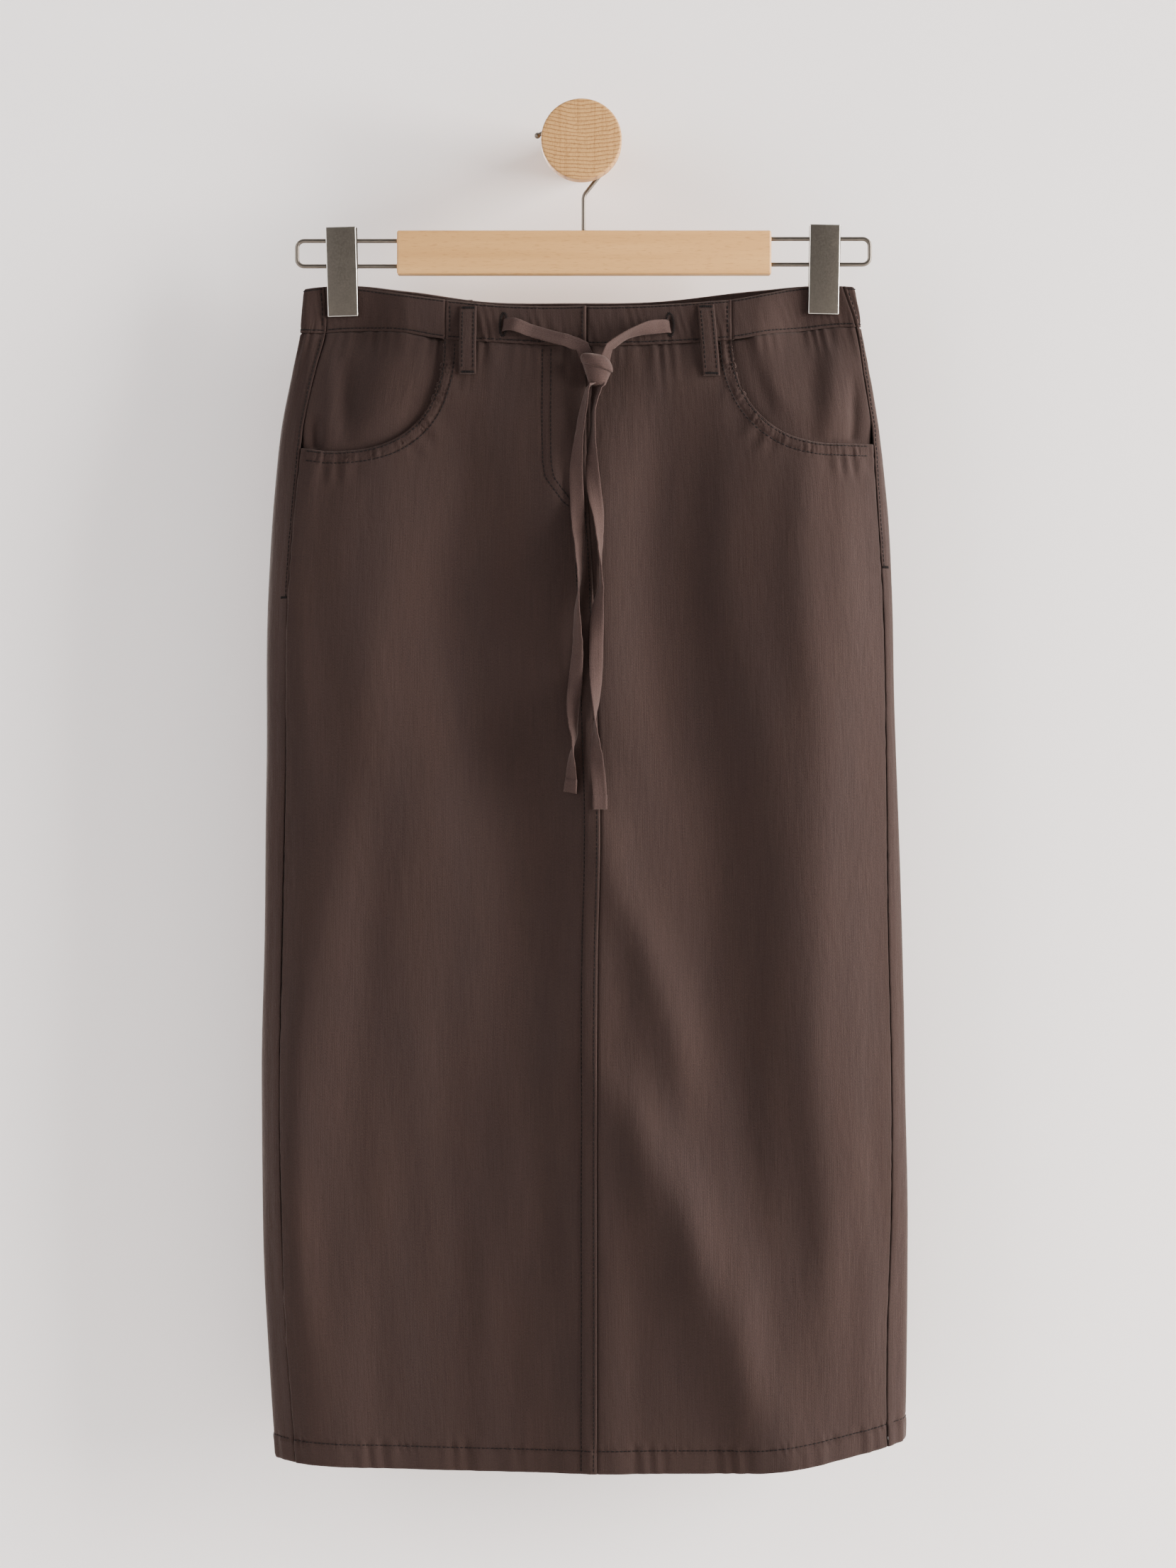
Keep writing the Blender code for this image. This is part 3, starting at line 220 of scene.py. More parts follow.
# Folds; one with a height below 0 is a trough.
FRONT_FOLDS = [
    # Broad trough left of the middle, narrowing lower down.
    fold((-180, -84, 0, 24), (-218, -84, -5.5, 25), (-278, -78, -10, 31), (-338, -74, -11.4, 32),
         (-398, -68, -11.4, 31), (-458, -51, -9.5, 28), (-518, -41, -6.8, 25), (-640, -38, -3.6, 22),
         (-800, -36, -2.8, 22), (-940, -36, -1.8, 24)),
    # Shallow trough below it, towards the hem.
    fold((-480, -90, 0, 45), (-580, -95, -5.4, 47), (-680, -98, -9.6, 50), (-800, -96, -10.2, 52),
         (-940, -96, -7.6, 53)),
    # Crest that carries the middle seam.
    fold((-180, 12, 0, 18), (-300, 14, 2.6, 18), (-380, 10, 3.2, 17), (-450, 5, 4.4, 16),
         (-600, 8, 3.1, 14), (-940, 12, 2.5, 14)),
    # Trough right of the middle, running out to the right lower down.
    fold((-170, 62, 0, 20), (-218, 62, -5.6, 22), (-278, 58, -8.5, 24), (-338, 62, -9, 25),
         (-398, 70, -8.5, 25), (-458, 83, -7.5, 25), (-580, 93, -6.6, 26), (-700, 119, -6, 23),
         (-820, 155, 0, 20)),
    # Upper slanting crest on the right front.
    fold((-430, 10, 0, 13), (-517, 25, 4.6, 13), (-577, 49, 5, 13), (-636, 69, 3.6, 13),
         (-690, 88, 0, 13)),
    # Lower slanting crest on the right front.
    fold((-635, 12, 0, 17), (-695, 42, 6.4, 17), (-753, 69, 9, 19), (-812, 94, 9, 20),
         (-871, 116, 7.2, 21), (-940, 148, 4, 22)),
    # Low crest that wanders down the left front.
    fold((-220, -125, 0, 16), (-338, -143, 2.5, 16), (-458, -158, 3, 16), (-577, -188, 3.5, 17),
         (-695, -203, 4.5, 18), (-783, -203, 4.5, 18), (-841, -188, 3.5, 17), (-940, -170, 2, 16)),
    # Low straight crest beside it.
    fold((-360, -125, 0, 15), (-500, -125, 2, 15), (-620, -125, 2.2, 15), (-740, -124, 0.6, 15),
         (-900, -130, 0, 15)),
]
# The front as a whole: flatter at the left, falling away to the right.
FRONT_LEAN = [
    fold((-150, -190, 0, 34), (-260, -200, 5, 36), (-500, -205, 6, 36), (-700, -205, 3.2, 36),
         (-940, -200, 2.8, 36)),
    fold((-150, 156, 0, 25), (-260, 162, 8, 26), (-500, 167, 10, 27), (-700, 170, 8, 27),
         (-940, 168, 2.4, 30)),
    fold((-150, 218, 0, 26), (-260, 222, -9.5, 28), (-500, 226, -11, 30), (-700, 228, -9, 34),
         (-940, 226, -5, 36)),
]
BACK_FOLDS = [
    fold((-170, -80, 0, 30), (-300, -88, -6, 34), (-520, -80, -7, 34), (-760, -70, -4, 30),
         (-940, -66, -2, 28)),
    fold((-180, 0, 0, 22), (-330, 4, 3.5, 22), (-600, -4, 4, 20), (-940, -10, 2.5, 20)),
    fold((-180, 70, 0, 24), (-300, 74, -5.5, 26), (-500, 86, -6, 28), (-740, 110, -3.5, 26),
         (-940, 130, 0, 26)),
    fold((-560, 20, 0, 18), (-700, 46, 4.5, 18), (-840, 82, 5, 20), (-940, 108, 2.5, 22)),
    fold((-260, -150, 0, 18), (-480, -160, 3.5, 18), (-760, -176, 3.5, 18), (-940, -160, 1.5, 18)),
]

# Pocket openings: the curved edge of each front round a hip facing.
POCKETS = {
    "left": {"x": -0.1745, "z": -0.1390, "wide": 0.0775, "deep": 0.0800, "power": 2.5,
             "seam_z": -0.2165, "side": -1},
    "right": {"x": 0.1762, "z": -0.1390, "wide": 0.0707, "deep": 0.0743, "power": 2.2,
              "seam_z": -0.2130, "side": 1},
}

# Seams between the front and side pieces of the waistband.
BAND_SEAM_X = {"left": -0.0952, "right": 0.1054}

# Belt loops: the middle of the top and bottom edges.
BELT_LOOPS = {
    "belt_loop_front_left": {"top": (-0.0795, -0.1165), "bottom": (-0.0795, -0.1655), "back": False},
    "belt_loop_front_right": {"top": (0.0872, -0.1155), "bottom": (0.0910, -0.1665), "back": False},
    "belt_loop_back_left": {"top": (-0.0830, -0.1090), "bottom": (-0.0835, -0.1580), "back": True},
    "belt_loop_back_right": {"top": (0.0860, -0.1085), "bottom": (0.0870, -0.1575), "back": True},
}

# Across a loop: each place as a share of its half width, and its height.
LOOP_SLICE = [(-1, 0.0007), (-0.97, 0.0013), (-0.86, 0.0016), (-0.66, 0.00136), (-0.3, 0.00157),
              (0.3, 0.00157), (0.66, 0.00136), (0.86, 0.0016), (0.97, 0.0013), (1, 0.0007)]

# The tie: the middle line of each free stretch, how far it stands off the
# cloth, and its turn about that line in degrees (0 is flat to the front).
RIBBON = ("z", "x", "off", "turn")
TIE_TAILS = {
    "tie_tail_left": Table(RIBBON, [
        (-176.2, 5, 3, -80), (-188, 2.5, 1.4, -62), (-212.2, -1.4, 0.6, -50), (-234.4, -3.2, 0.3, -18),
        (-253, -2.8, 0.3, 0), (-272.3, -2, 0.3, 32), (-290, -1, 0.3, 60), (-310, -0.8, 0.3, 86),
        (-330.9, -2.2, 0.3, 120), (-357.5, -2, 0.3, 150), (-379.6, -3.6, 0.3, 180),
        (-394.9, -4.2, 0.3, 215), (-411.1, -3.4, 0.3, 248), (-421.5, -2.6, 0.3, 272),
        (-432.8, -4.6, 0.3, 312), (-447, -5.6, 0.3, 345), (-457.4, -7, 0.3, 360)]),
    "tie_tail_right": Table(RIBBON, [
        (-177, 11.2, 3, -45), (-192.5, 8.4, 1.6, -70), (-204, 8.2, 1, -72), (-222.1, 7.4, 0.5, -44),
        (-248.2, 9, 0.3, 0), (-265.9, 11.2, 0.3, 35), (-281.6, 11.8, 0.3, 58), (-300.8, 12.2, 0.3, 84),
        (-313.2, 12.6, 0.3, 98), (-326, 11, 0.3, 132), (-348.1, 10.4, 0.3, 178), (-369.8, 10.2, 0.3, 195),
        (-394.9, 10, 0.3, 240), (-406.5, 9.6, 0.3, 268), (-418.5, 9.9, 0.3, 294), (-439.2, 11, 0.3, 337),
        (-457.4, 12.5, 0.3, 357), (-469.2, 12.8, 0.3, 360)]),
}
RUN = ("x", "z", "off", "turn")
TIE_RUNS = {
    "tie_run_left": Table(RUN, [
        (-55.8, -129.7, -4.2, 0), (-53.2, -130.2, 0, 0), (-34.3, -135.7, 1.2, 6), (-16.2, -142.1, 3.5, 8),
        (-6.1, -145.3, 5, 4), (0.4, -148, 6, 0)]),
    "tie_run_right": Table(RUN, [
        (19.2, -150.2, 7.5, -66), (31.4, -141.6, 6, -76), (40.5, -137.2, 4.5, -62), (48, -134.6, 3.5, -38),
        (55.4, -132.4, 1.2, -12), (60.8, -131.4, 0, 0), (63.2, -130.8, -4.2, 0)]),
}
KNOT_AT = (0.0100, -0.1617)
KNOT_OFF = 0.0085
# The knot's lower and upper turn: middle x and z, half width, half depth and lean in degrees.
KNOT_LOWER = [(0.0112, -0.1744, 0.0046, 0.0030, 0), (0.0112, -0.1734, 0.0058, 0.0046, 0),
              (0.0110, -0.1692, 0.0072, 0.0062, -5), (0.0108, -0.1642, 0.0090, 0.0072, -12),
              (0.0107, -0.1607, 0.0101, 0.0074, -16), (0.0107, -0.1582, 0.0100, 0.0066, -18)]
KNOT_UPPER = [(0.0108, -0.1618, 0.0100, 0.0072, -18), (0.0108, -0.1612, 0.0109, 0.0086, -18),
              (0.0107, -0.1598, 0.0113, 0.0092, -17), (0.0103, -0.1572, 0.0111, 0.0092, -14),
              (0.0097, -0.1545, 0.0103, 0.0084, -10), (0.0092, -0.1526, 0.0084, 0.0066, -8),
              (0.0090, -0.1517, 0.0050, 0.0036, -8)]
# Where each half of the tie runs through the knot: x, z, and its turn.
KNOT_PASS = {"left": [(0.0060, -0.1584, -20), (0.0090, -0.1664, -50), (0.0078, -0.1736, -70)],
             "right": [(0.0150, -0.1584, 40), (0.0130, -0.1664, 0), (0.0122, -0.1736, -30)]}

# Side loops of wire: the end of each, and the heights of its two wires.
WIRE_LOOPS = {
    "wire_loop_left": {"bar": BAR_LEFT, "end": -0.2021, "top": -0.0685, "bottom": -0.0864},
    "wire_loop_right": {"bar": BAR_RIGHT, "end": 0.2048, "top": -0.0671, "bottom": -0.0851},
}
CLIPS = {
    "left": {"x": CLIP_X[0], "z": -0.09075, "tilt": math.radians(-1.6)},
    "right": {"x": CLIP_X[1], "z": -0.08910, "tilt": math.radians(1.1)},
}

# Fine creases on the cloth.
FRONT_CREASES = [
    fold((-215, -88, 0, 6), (-235, -92, 1, 6), (-280, -98, 0.7, 7), (-340, -100, 0, 8)),
    # The fly's thicker layers, and the crease where they end.
    fold((-146, -14, 0.4, 14), (-172, -14, 2, 13), (-240, -13, 2, 12), (-268, -10, 0, 10)),
    fold((-200, -14, 0, 3.4), (-222, -13.2, -1.6, 3.4), (-244, -10.8, -2, 3.4), (-254, -9.8, 0, 3.4)),
]
BACK_CREASES = [
    fold((-180, -120, 0, 7), (-230, -124, 1, 7), (-330, -128, 0, 9)),
]
FACING_CREASES = {
    "left": [
        fold((-146, -166, 0, 4), (-176, -164.5, -3, 5), (-204, -164, -1.8, 5), (-216, -164, 0, 5)),
        fold((-140, -136, 0.6, 12), (-165, -140, 2.6, 11), (-200, -146, 1.8, 10),
             (-215, -150, 0.4, 10)),
        fold((-150, -176, 0.4, 5), (-180, -174.5, 2, 5), (-210, -176, 0.8, 5)),
        fold((-192, -186.5, 0, 3), (-200, -186.3, -2.6, 3), (-217, -186.5, -3.4, 3)),
    ],
    "right": [
        fold((-138, 178, 0.6, 6), (-160, 177, 2.8, 8), (-190, 175, 3.6, 8), (-209, 174, 2, 8)),
        fold((-138, 166, 0, 4), (-160, 165, -1.4, 5), (-209, 163, -1, 5)),
        fold((-160, 191.5, 0, 3), (-182, 191.5, -2.2, 3), (-212, 192, -3, 3)),
        fold((-140, 121, 0, 3), (-158, 122.5, -1.4, 4), (-182, 130, -1.8, 4), (-196, 135, 0, 4)),
    ],
}

# The fly's stitched curve beside the middle of the front, (x, z) from the top.
FLY_STITCH = [(-0.0273, -0.1466), (-0.0273, -0.2030), (-0.0268, -0.2283), (-0.0250, -0.2380),
              (-0.0184, -0.2471), (-0.0120, -0.2560), (-0.0085, -0.2584)]

# The view: straight on, VIEW_TALL metres high in the hanging plane.
VIEW_X, VIEW_Z = 0.0046, -0.4515
VIEW_DISTANCE, SENSOR = 3.0, 36.0
VIEW_TALL = 1.106
WALL_Y = 0.0005
WALL_WIDE, WALL_TOP = 2.4, 1.4
FLOOR_Z, FLOOR_WIDE = -1.12, 4
ROOM_LIGHT = 0.36
# Lamps: place, what it points at, size, power and colour.
LIGHTS = [
    ("key", (5.2, -1.50, 0.50), (0, -0.07, -0.45), (3.6, 3.4), 1260, (1.0, 0.97, 0.95)),
    ("fill", (-3.0, -2.2, 0.4), (0, -0.07, -0.45), (2.4, 2.4), 90, (0.98, 0.97, 1.0)),
    ("behind", (-1.2, 3.2, 0.9), (0, -0.05, -0.45), (2.0, 2.0), 330, (1.0, 0.98, 0.96)),
]
# Puckers along seams, in millimetres: height and pitch of the waves, where they are strongest, reach.
PUCKERS = {
    "hem": (0.35, 7.0, 0, 4.5),
    "pocket_tight": (0.75, 3.7, 4.8, 4.2), "pocket_broad": (0.70, 15.0, 14.0, 9.0),
    "fell": (0.42, 6.6, 6.0, 4.0),
    "waist_tight": (0.35, 5.2, 1.0, 6.0), "waist_broad": (0.80, 11.8, 4.0, 20.0),
    "waist_back": (0.70, 12.5, 0, 22.0), "waist_facing": (0.70, 11.0, 0, 14.0),
    "side_front": (0.35, 19.0, 0, 8.0), "side_back": (0.30, 20.0, 0, 9.0),
}
# Slow unevenness of the cloth, setting in below the band.
DRIFT_START, DRIFT_FULL = -0.150, -0.260
# Its waves: pitch across, length down, height and phase.
DRIFTS = [(0.031, 0.36, 0.00030, 0.7), (0.047, 0.28, 0.00050, 2.1), (0.083, 0.51, 0.00080, 5.2)]

# Edge stitching beside the side seams ends at a bar tack.
SEAM_TACKS = {"left": -0.321, "right": -0.299}
EDGE_ROW_TOP = {"left": -0.138, "right": -0.136}
EDGE_ROW = 0.0020
TACK_ASIDE, TACK_HALF = 0.0040, 0.0032      # from the seam to the bar tack's middle, and half its length
END_ROW = 0.0028            # beside the end of a band piece that lies on its neighbour
SIDE_PROUD = 0.00045
HOLE_SIDE, HOLE_END = 0.0024, 0.0008        # from a buttonhole's slot to its ring of stitches
HOLE_PITCH, HOLE_STITCH = 0.00105, 0.0019
# Buttonholes that the tie comes out of: x, z, half height and lean.
BUTTONHOLES = {"left": (-0.0548, -0.1296, 0.0078, 0.06), "right": (0.0622, -0.1296, 0.0076, -0.05)}


def smooth(start, end, value):
    """0 before start, 1 after end, and an even S between."""
    t = np.clip((np.asarray(value, dtype=float) - start) / (end - start), 0, 1)
    return t * t * (3 - 2 * t)


def fade(start, end, value):
    """1 before start, 0 after end, and an even S between."""
    return 1 - smooth(start, end, value)


def bell(value, middle, width):
    """1 at the middle, dying away over a width at either side."""
    return np.exp(-(((value - middle) / width) ** 2))


def relief(folds, x, z):
    """How far the folds lift the cloth at each place."""
    total = np.zeros(np.broadcast(x, z).shape)
    for course in folds:
        row = course.at(z)
        total += row[..., 1] * np.exp(-0.5 * ((x - row[..., 0]) / row[..., 2]) ** 2)
    return total


def pinch(x, z):
    """How firmly the clips hold the cloth: 1 in the jaws, 0 away from them."""
    row = CLIP_PINCH.at(z)
    nearest = np.minimum(np.abs(x - CLIP_X[0]), np.abs(x - CLIP_X[1]))
    return np.minimum(row[..., 0], 1) * fade(row[..., 1], row[..., 1] + row[..., 2], nearest)


def ring_x(angle, z):
    """Where across each angle of the ring lies."""
    row = SECTIONS.at(z)
    return (row[..., 0] + row[..., 3]) / 2 + (row[..., 3] - row[..., 0]) / 2 * np.sin(angle)


def surface(angle, z):
    """Points of the cloth's outer face."""
    angle, z = np.broadcast_arrays(np.asarray(angle, dtype=float), np.asarray(z, dtype=float))
    row = SECTIONS.at(z)
    x = ring_x(angle, z)
    edge = np.maximum(1 - np.abs(np.sin(angle)) ** ROUNDNESS, 0) ** (1 / ROUNDNESS)
    on_front = np.cos(angle) >= 0
    folds = np.where(on_front, relief(FRONT_FOLDS, x, z), relief(BACK_FOLDS, x, z))
    folds = DEEPER * folds + np.where(on_front, relief(FRONT_LEAN, x, z), 0)
    swell = np.where(on_front, row[..., 4], row[..., 5]) * edge + folds * np.minimum(edge * FOLD_FADE, 1)
    held = pinch(x, z)
    swell = swell * (1 - held) + CLIPPED * held * np.minimum(edge * CLIP_FADE, 1)
    return np.stack([x, np.where(on_front, HANG_Y - swell, HANG_Y + swell), z], axis=-1)


def unit(vectors):
    return vectors / np.maximum(np.linalg.norm(vectors, axis=-1, keepdims=True), 1e-12)


def outward(angle, z):
    """The direction out of the cloth."""
    around = surface(angle + ANGLE_PROBE, z) - surface(angle - ANGLE_PROBE, z)
    upward = surface(angle, z + HEIGHT_PROBE) - surface(angle, z - HEIGHT_PROBE)
    return unit(np.cross(around, upward))


def lifted(angle, z, off):
    """Points that stand off the cloth's outer face."""
    return surface(angle, z) + outward(angle, z) * np.asarray(off)[..., None]


def angle_at(x, z, back=False):
    """The angle of a place given by its x, on the front or the back."""
    row = SECTIONS.at(z)
    across = (x - (row[..., 0] + row[..., 3]) / 2) / ((row[..., 3] - row[..., 0]) / 2)
    angle = np.arcsin(np.clip(across, -1, 1))
    return math.pi - angle if back else angle


def rate(angle, z):
    """Metres of cloth to a radian."""
    way = surface(angle + RATE_PROBE, z) - surface(angle - RATE_PROBE, z)
    return np.linalg.norm(way, axis=-1) / (2 * RATE_PROBE)


def along(angle, z, distance):
    """The angle reached by going a real distance round the ring."""
    return angle + distance / rate(angle, z)


def edge_height(edge, angle):
    """Height of the waist, band or hem edge at each angle."""
    across = np.sin(angle)
    return np.where(np.cos(angle) >= 0, FRONT_EDGES.get(edge, across), BACK_EDGES.get(edge, across))


def side_seam(side, shift):
    """The line of a side seam, a real distance round from it."""
    column = "seam_left" if side < 0 else "seam_right"
    return lambda z: along(angle_at(SECTIONS.get(column, z), z), z, shift)


def centre_seam(shift):
    return lambda z: along(angle_at(CENTRE_EDGE.get("x", z), z), z, shift)


def band_joint(side, shift):
    return lambda z: along(angle_at(BAND_SEAM_X[side], z), z, shift)


def past_back(line):
    return lambda z: line(z) + 2 * math.pi


def meeting(line, edge):
    """The angle at which an upright line meets a cross edge."""
    angle = line(edge_height(edge, 0.0))
    for _ in range(3):
        angle = line(edge_height(edge, angle))
    return angle


def from_edge(angle, z):
    """How far in from the left front's edge each place lies."""
    return CENTRE_EDGE.get("x", z) - ring_x(angle, z)


def overlap_rise(angle, z):
    return BAND_PROUD + OVERLAP_RISE * fade(0, OVERLAP_WIDTH, from_edge(angle, z))


def fell_rise(angle, z):
    """The felled seam stands out along the left front's edge."""
    inside = from_edge(angle, z)
    wide = fade(FELL_WIDTH - FELL_EDGE, FELL_WIDTH + FELL_EDGE, inside)
    rolled = smooth(-0.0002, FELL_EDGE, inside)
    return FELL_RISE * wide * (0.4 + 0.6 * rolled) * smooth(FELL_TOP + FELL_EASE, FELL_TOP, z)


def ripple(run, pitch, seed):
    """An uneven wave along a seam, between -1 and 1."""
    turn = 2 * math.pi * run / pitch
    bent = np.sin(turn + 1.9 * np.sin(turn / 3.7 + seed) + seed)
    return bent * (0.62 + 0.38 * np.sin(turn / 5.3 + 2 * seed))


def pucker(name, run, away, seed):
    """The small waves that a seam draws up, strongest at a distance from it."""
    height, pitch, middle, width = (size / 1000 for size in PUCKERS[name])
    return height * ripple(run, pitch, seed) * bell(away, middle, width)


def groove(distance, width, depth):
    """A stitch line's narrow dip."""
    return -depth * bell(distance, 0, width)


def past(line, angle, z):
    """The real distance round from a line to each place, above 0 past it."""
    start = line(z)
    return (angle - start) * rate(start, z)


def run_at(angle):
    """The distance round the ring from the middle of the front, halfway down."""
    return np.interp(angle, RING_ANGLES, RING_RUNS)


def beside(line, angle, z):
    """The distance from each place to a line of (angle, z) places, and how far along it."""
    line = np.asarray(line)
    flat = np.stack([run_at(line[:, 0]), line[:, 1]], axis=-1)
    runs = np.concatenate([[0], np.cumsum(np.linalg.norm(np.diff(flat, axis=0), axis=1))])
    samples = np.arange(0, runs[-1], COURSE_STEP)
    spots = np.stack([np.interp(samples, runs, way) for way in flat.T], axis=-1)
    places = np.stack([np.ravel(run_at(angle)), np.ravel(z)], axis=-1)
    best = np.full(len(places), 1.0)
    run = np.zeros(len(places))
    low, high = spots.min(axis=0) - COURSE_REACH, spots.max(axis=0) + COURSE_REACH
    near = np.flatnonzero(np.all((places > low) & (places < high), axis=1))
    for chunk in np.array_split(near, max(len(near) // CHUNK, 1)):
        gaps = np.linalg.norm(places[chunk][:, None] - spots[None], axis=2)
        nearest = gaps.argmin(axis=1)
        best[chunk] = gaps[np.arange(len(chunk)), nearest]
        run[chunk] = samples[nearest]
    return best.reshape(np.shape(angle)), run.reshape(np.shape(angle))


RING_ANGLES = np.linspace(-math.pi, 3 * math.pi, 1601)
RING_POINTS = surface(RING_ANGLES, -0.5)
RING_STEPS = np.linalg.norm(np.diff(RING_POINTS, axis=0), axis=1)
RING_RUNS = np.concatenate([[0], np.cumsum(RING_STEPS)])


class Look:
    """A material under way: adds nodes and joins them."""

    def __init__(self, name, colour, roughness, metallic=0.0):
        self.material = bpy.data.materials.new(name)
        self.material.use_nodes = True
        self.tree = self.material.node_tree
        self.shader = self.tree.nodes["Principled BSDF"]
        self.shader.inputs["Base Color"].default_value = (*colour, 1)
        self.shader.inputs["Roughness"].default_value = roughness
        self.shader.inputs["Metallic"].default_value = metallic

    def add(self, kind, inputs, **settings):
        made = self.tree.nodes.new(kind)
        for key, value in settings.items():
            setattr(made, key, value)
        for key, value in inputs.items():
            self.feed(made.inputs[key], value)
        return made

    def feed(self, socket, value):
        if isinstance(value, bpy.types.NodeSocket):
            self.tree.links.new(value, socket)
        else:
            socket.default_value = value

    def places(self, scale, source="UV"):
        """Places on the surface in metres, stretched by a scale for each way."""
        where = self.add("ShaderNodeTexCoord", {}).outputs[source]
        return self.add("ShaderNodeMapping", {"Vector": where, "Scale": scale}).outputs[0]

    def noise(self, scale, detail=2.0, source="UV", distortion=0.0):
        where = self.places(scale, source)
        made = self.add("ShaderNodeTexNoise", {"Vector": where, "Scale": 1.0, "Detail": detail,
                                               "Distortion": distortion})
        return made.outputs["Fac"]

    def maths(self, kind, *values):
        return self.add("ShaderNodeMath", dict(enumerate(values)), operation=kind).outputs[0]

    def vectors(self, kind, *values):
        return self.add("ShaderNodeVectorMath", dict(enumerate(values)), operation=kind).outputs

    def ramp(self, value, stops):
        made = self.add("ShaderNodeValToRGB", {"Fac": value})
        for i, (place, colour) in enumerate(stops):
            if i > 1:
                made.color_ramp.elements.new(place)
            made.color_ramp.elements[i].position = place
            made.color_ramp.elements[i].color = (*colour, 1)
        return made.outputs[0]

    def mix(self, kind, amount, first, second):
        made = self.add("ShaderNodeMix", {}, data_type="RGBA", blend_type=kind)
        self.feed(made.inputs[0], amount)
        self.feed(made.inputs[6], first)
        self.feed(made.inputs[7], second)
        return made.outputs[2]

    def span(self, value, low, high):
        """A 0 to 1 value spread evenly from low to high."""
        return self.add("ShaderNodeMapRange", {"Value": value, "To Min": low, "To Max": high}).outputs[0]

    def bumps(self, heights):
        """Stacks (height, depth in metres) bumps, broad ones first."""
        normal = None
        for height, depth in heights:
            made = self.add("ShaderNodeBump", {"Height": height, "Distance": depth, "Strength": 1.0})
            if normal:
                self.feed(made.inputs["Normal"], normal)
            normal = made.outputs[0]
        self.feed(self.shader.inputs["Normal"], normal)

    def colour(self, value):
        self.feed(self.shader.inputs["Base Color"], value)


def cloth_look(name, dark, light, streaks):
    """Slubby twill: long upright threads of uneven tone over a fine weave."""
    look = Look(name, light, 0.92)
    slub = look.noise((1500, 26, 1), 3.0)
    fine = look.noise((2600, 900, 1), 1.0)
    drift = look.noise((26, 9, 1), 3.0)
    tone = look.mix("MIX", look.span(slub, 0.5 - streaks, 0.5 + streaks), (*dark, 1), (*light, 1))
    weave = look.ramp(fine, [(0.30, (0.72, 0.72, 0.72)), (0.70, (1.22, 1.2, 1.18))])
    cast = look.ramp(drift, [(0.30, (0.96, 0.97, 0.99)), (0.72, (1.05, 1.02, 0.99))])
    look.colour(look.mix("MULTIPLY", 1.0, look.mix("MULTIPLY", 1.0, tone, weave), cast))
    look.bumps([(look.noise((190, 60, 1), 2.0), 0.00050), (slub, 0.00022), (fine, 0.00016)])
    look.shader.inputs["Sheen Weight"].default_value = 0.10
    look.shader.inputs["Sheen Roughness"].default_value = 0.45
    look.shader.inputs["Sheen Tint"].default_value = (0.95, 0.80, 0.72, 1)
    look.shader.inputs["Specular IOR Level"].default_value = 0.18
    return look.material


def thread_look():
    look = Look("thread", (0.0042, 0.0026, 0.0021), 0.9)
    grain = look.noise((3000, 3000, 3000), 1.0, "Object")
    look.colour(look.ramp(grain, [(0.3, (0.0026, 0.0016, 0.0013)), (0.7, (0.0060, 0.0036, 0.0030))]))
    look.shader.inputs["Specular IOR Level"].default_value = 0.25
    return look.material


def side_grain_look():
    """Beech along the grain: pale, with short darker flecks."""
    look = Look("beech_bar", (0.70, 0.49, 0.31), 0.50)
    bands = look.noise((3.0, 120, 95), 4.0, "Object", 0.4)
    flecks = look.noise((140, 900, 900), 2.0, "Object")
    base = look.ramp(bands, [(0.30, (0.487, 0.251, 0.076)), (0.50, (0.549, 0.291, 0.093)),
                             (0.72, (0.604, 0.337, 0.113))])
    spots = look.ramp(flecks, [(0.30, (0.78, 0.74, 0.70)), (0.44, (1.0, 1.0, 1.0))])
    look.colour(look.mix("MULTIPLY", 0.8, base, spots))
    look.bumps([(bands, 0.00020), (flecks, 0.00010)])
    return look.material


def end_grain_look():
    """Beech across the grain: curved year rings, fine rays and pores."""
    look = Look("beech_peg", (0.66, 0.44, 0.26), 0.60)
    centre = look.vectors("SUBTRACT", look.places((1, 1, 1), "Object"), RING_MIDDLE)[0]
    flat = look.vectors("MULTIPLY", centre, (1.0, 0.0, 1.0))[0]
    wobble = look.noise((60, 60, 60), 2.0, "Object")
    reach = look.vectors("LENGTH", flat)["Value"]
    bent = look.maths("ADD", look.span(wobble, -0.0016, 0.0016), reach)
    wave = look.maths("SINE", look.maths("MULTIPLY", bent, RING_RATE))
    ring = look.add("ShaderNodeMapRange", {"Value": wave, "From Min": -1.0, "From Max": 1.0}).outputs[0]
    tone = look.ramp(ring, [(0.0, (0.240, 0.105, 0.026)), (0.14, (0.435, 0.225, 0.066)),
                            (0.6, (0.481, 0.262, 0.083))])
    pores = look.noise((1500, 1500, 700), 2.0, "Object")
    specks = look.ramp(pores, [(0.34, (0.74, 0.68, 0.62)), (0.50, (1.0, 1.0, 1.0))])
    rays = look.noise((520, 6, 9), 2.0, "Object")
    lines = look.ramp(rays, [(0.34, (0.86, 0.82, 0.78)), (0.46, (1.0, 1.0, 1.0))])
    look.colour(look.mix("MULTIPLY", 0.9, look.mix("MULTIPLY", 1.0, tone, lines), specks))
    look.bumps([(ring, 0.00012), (pores, 0.00012)])
    return look.material


def metal_look(name, colour, roughness, brush):
    """Metal with fine brushing: brush is the texture's scale each way."""
    look = Look(name, colour, roughness, 1.0)
    lines = look.noise(brush, 3.0, "Object")
    look.feed(look.shader.inputs["Roughness"], look.span(lines, roughness - 0.07, roughness + 0.10))
    shade = tuple(0.86 * part for part in colour)
    look.colour(look.ramp(lines, [(0.3, shade), (0.7, colour)]))
    look.bumps([(lines, 0.00005)])
    return look.material


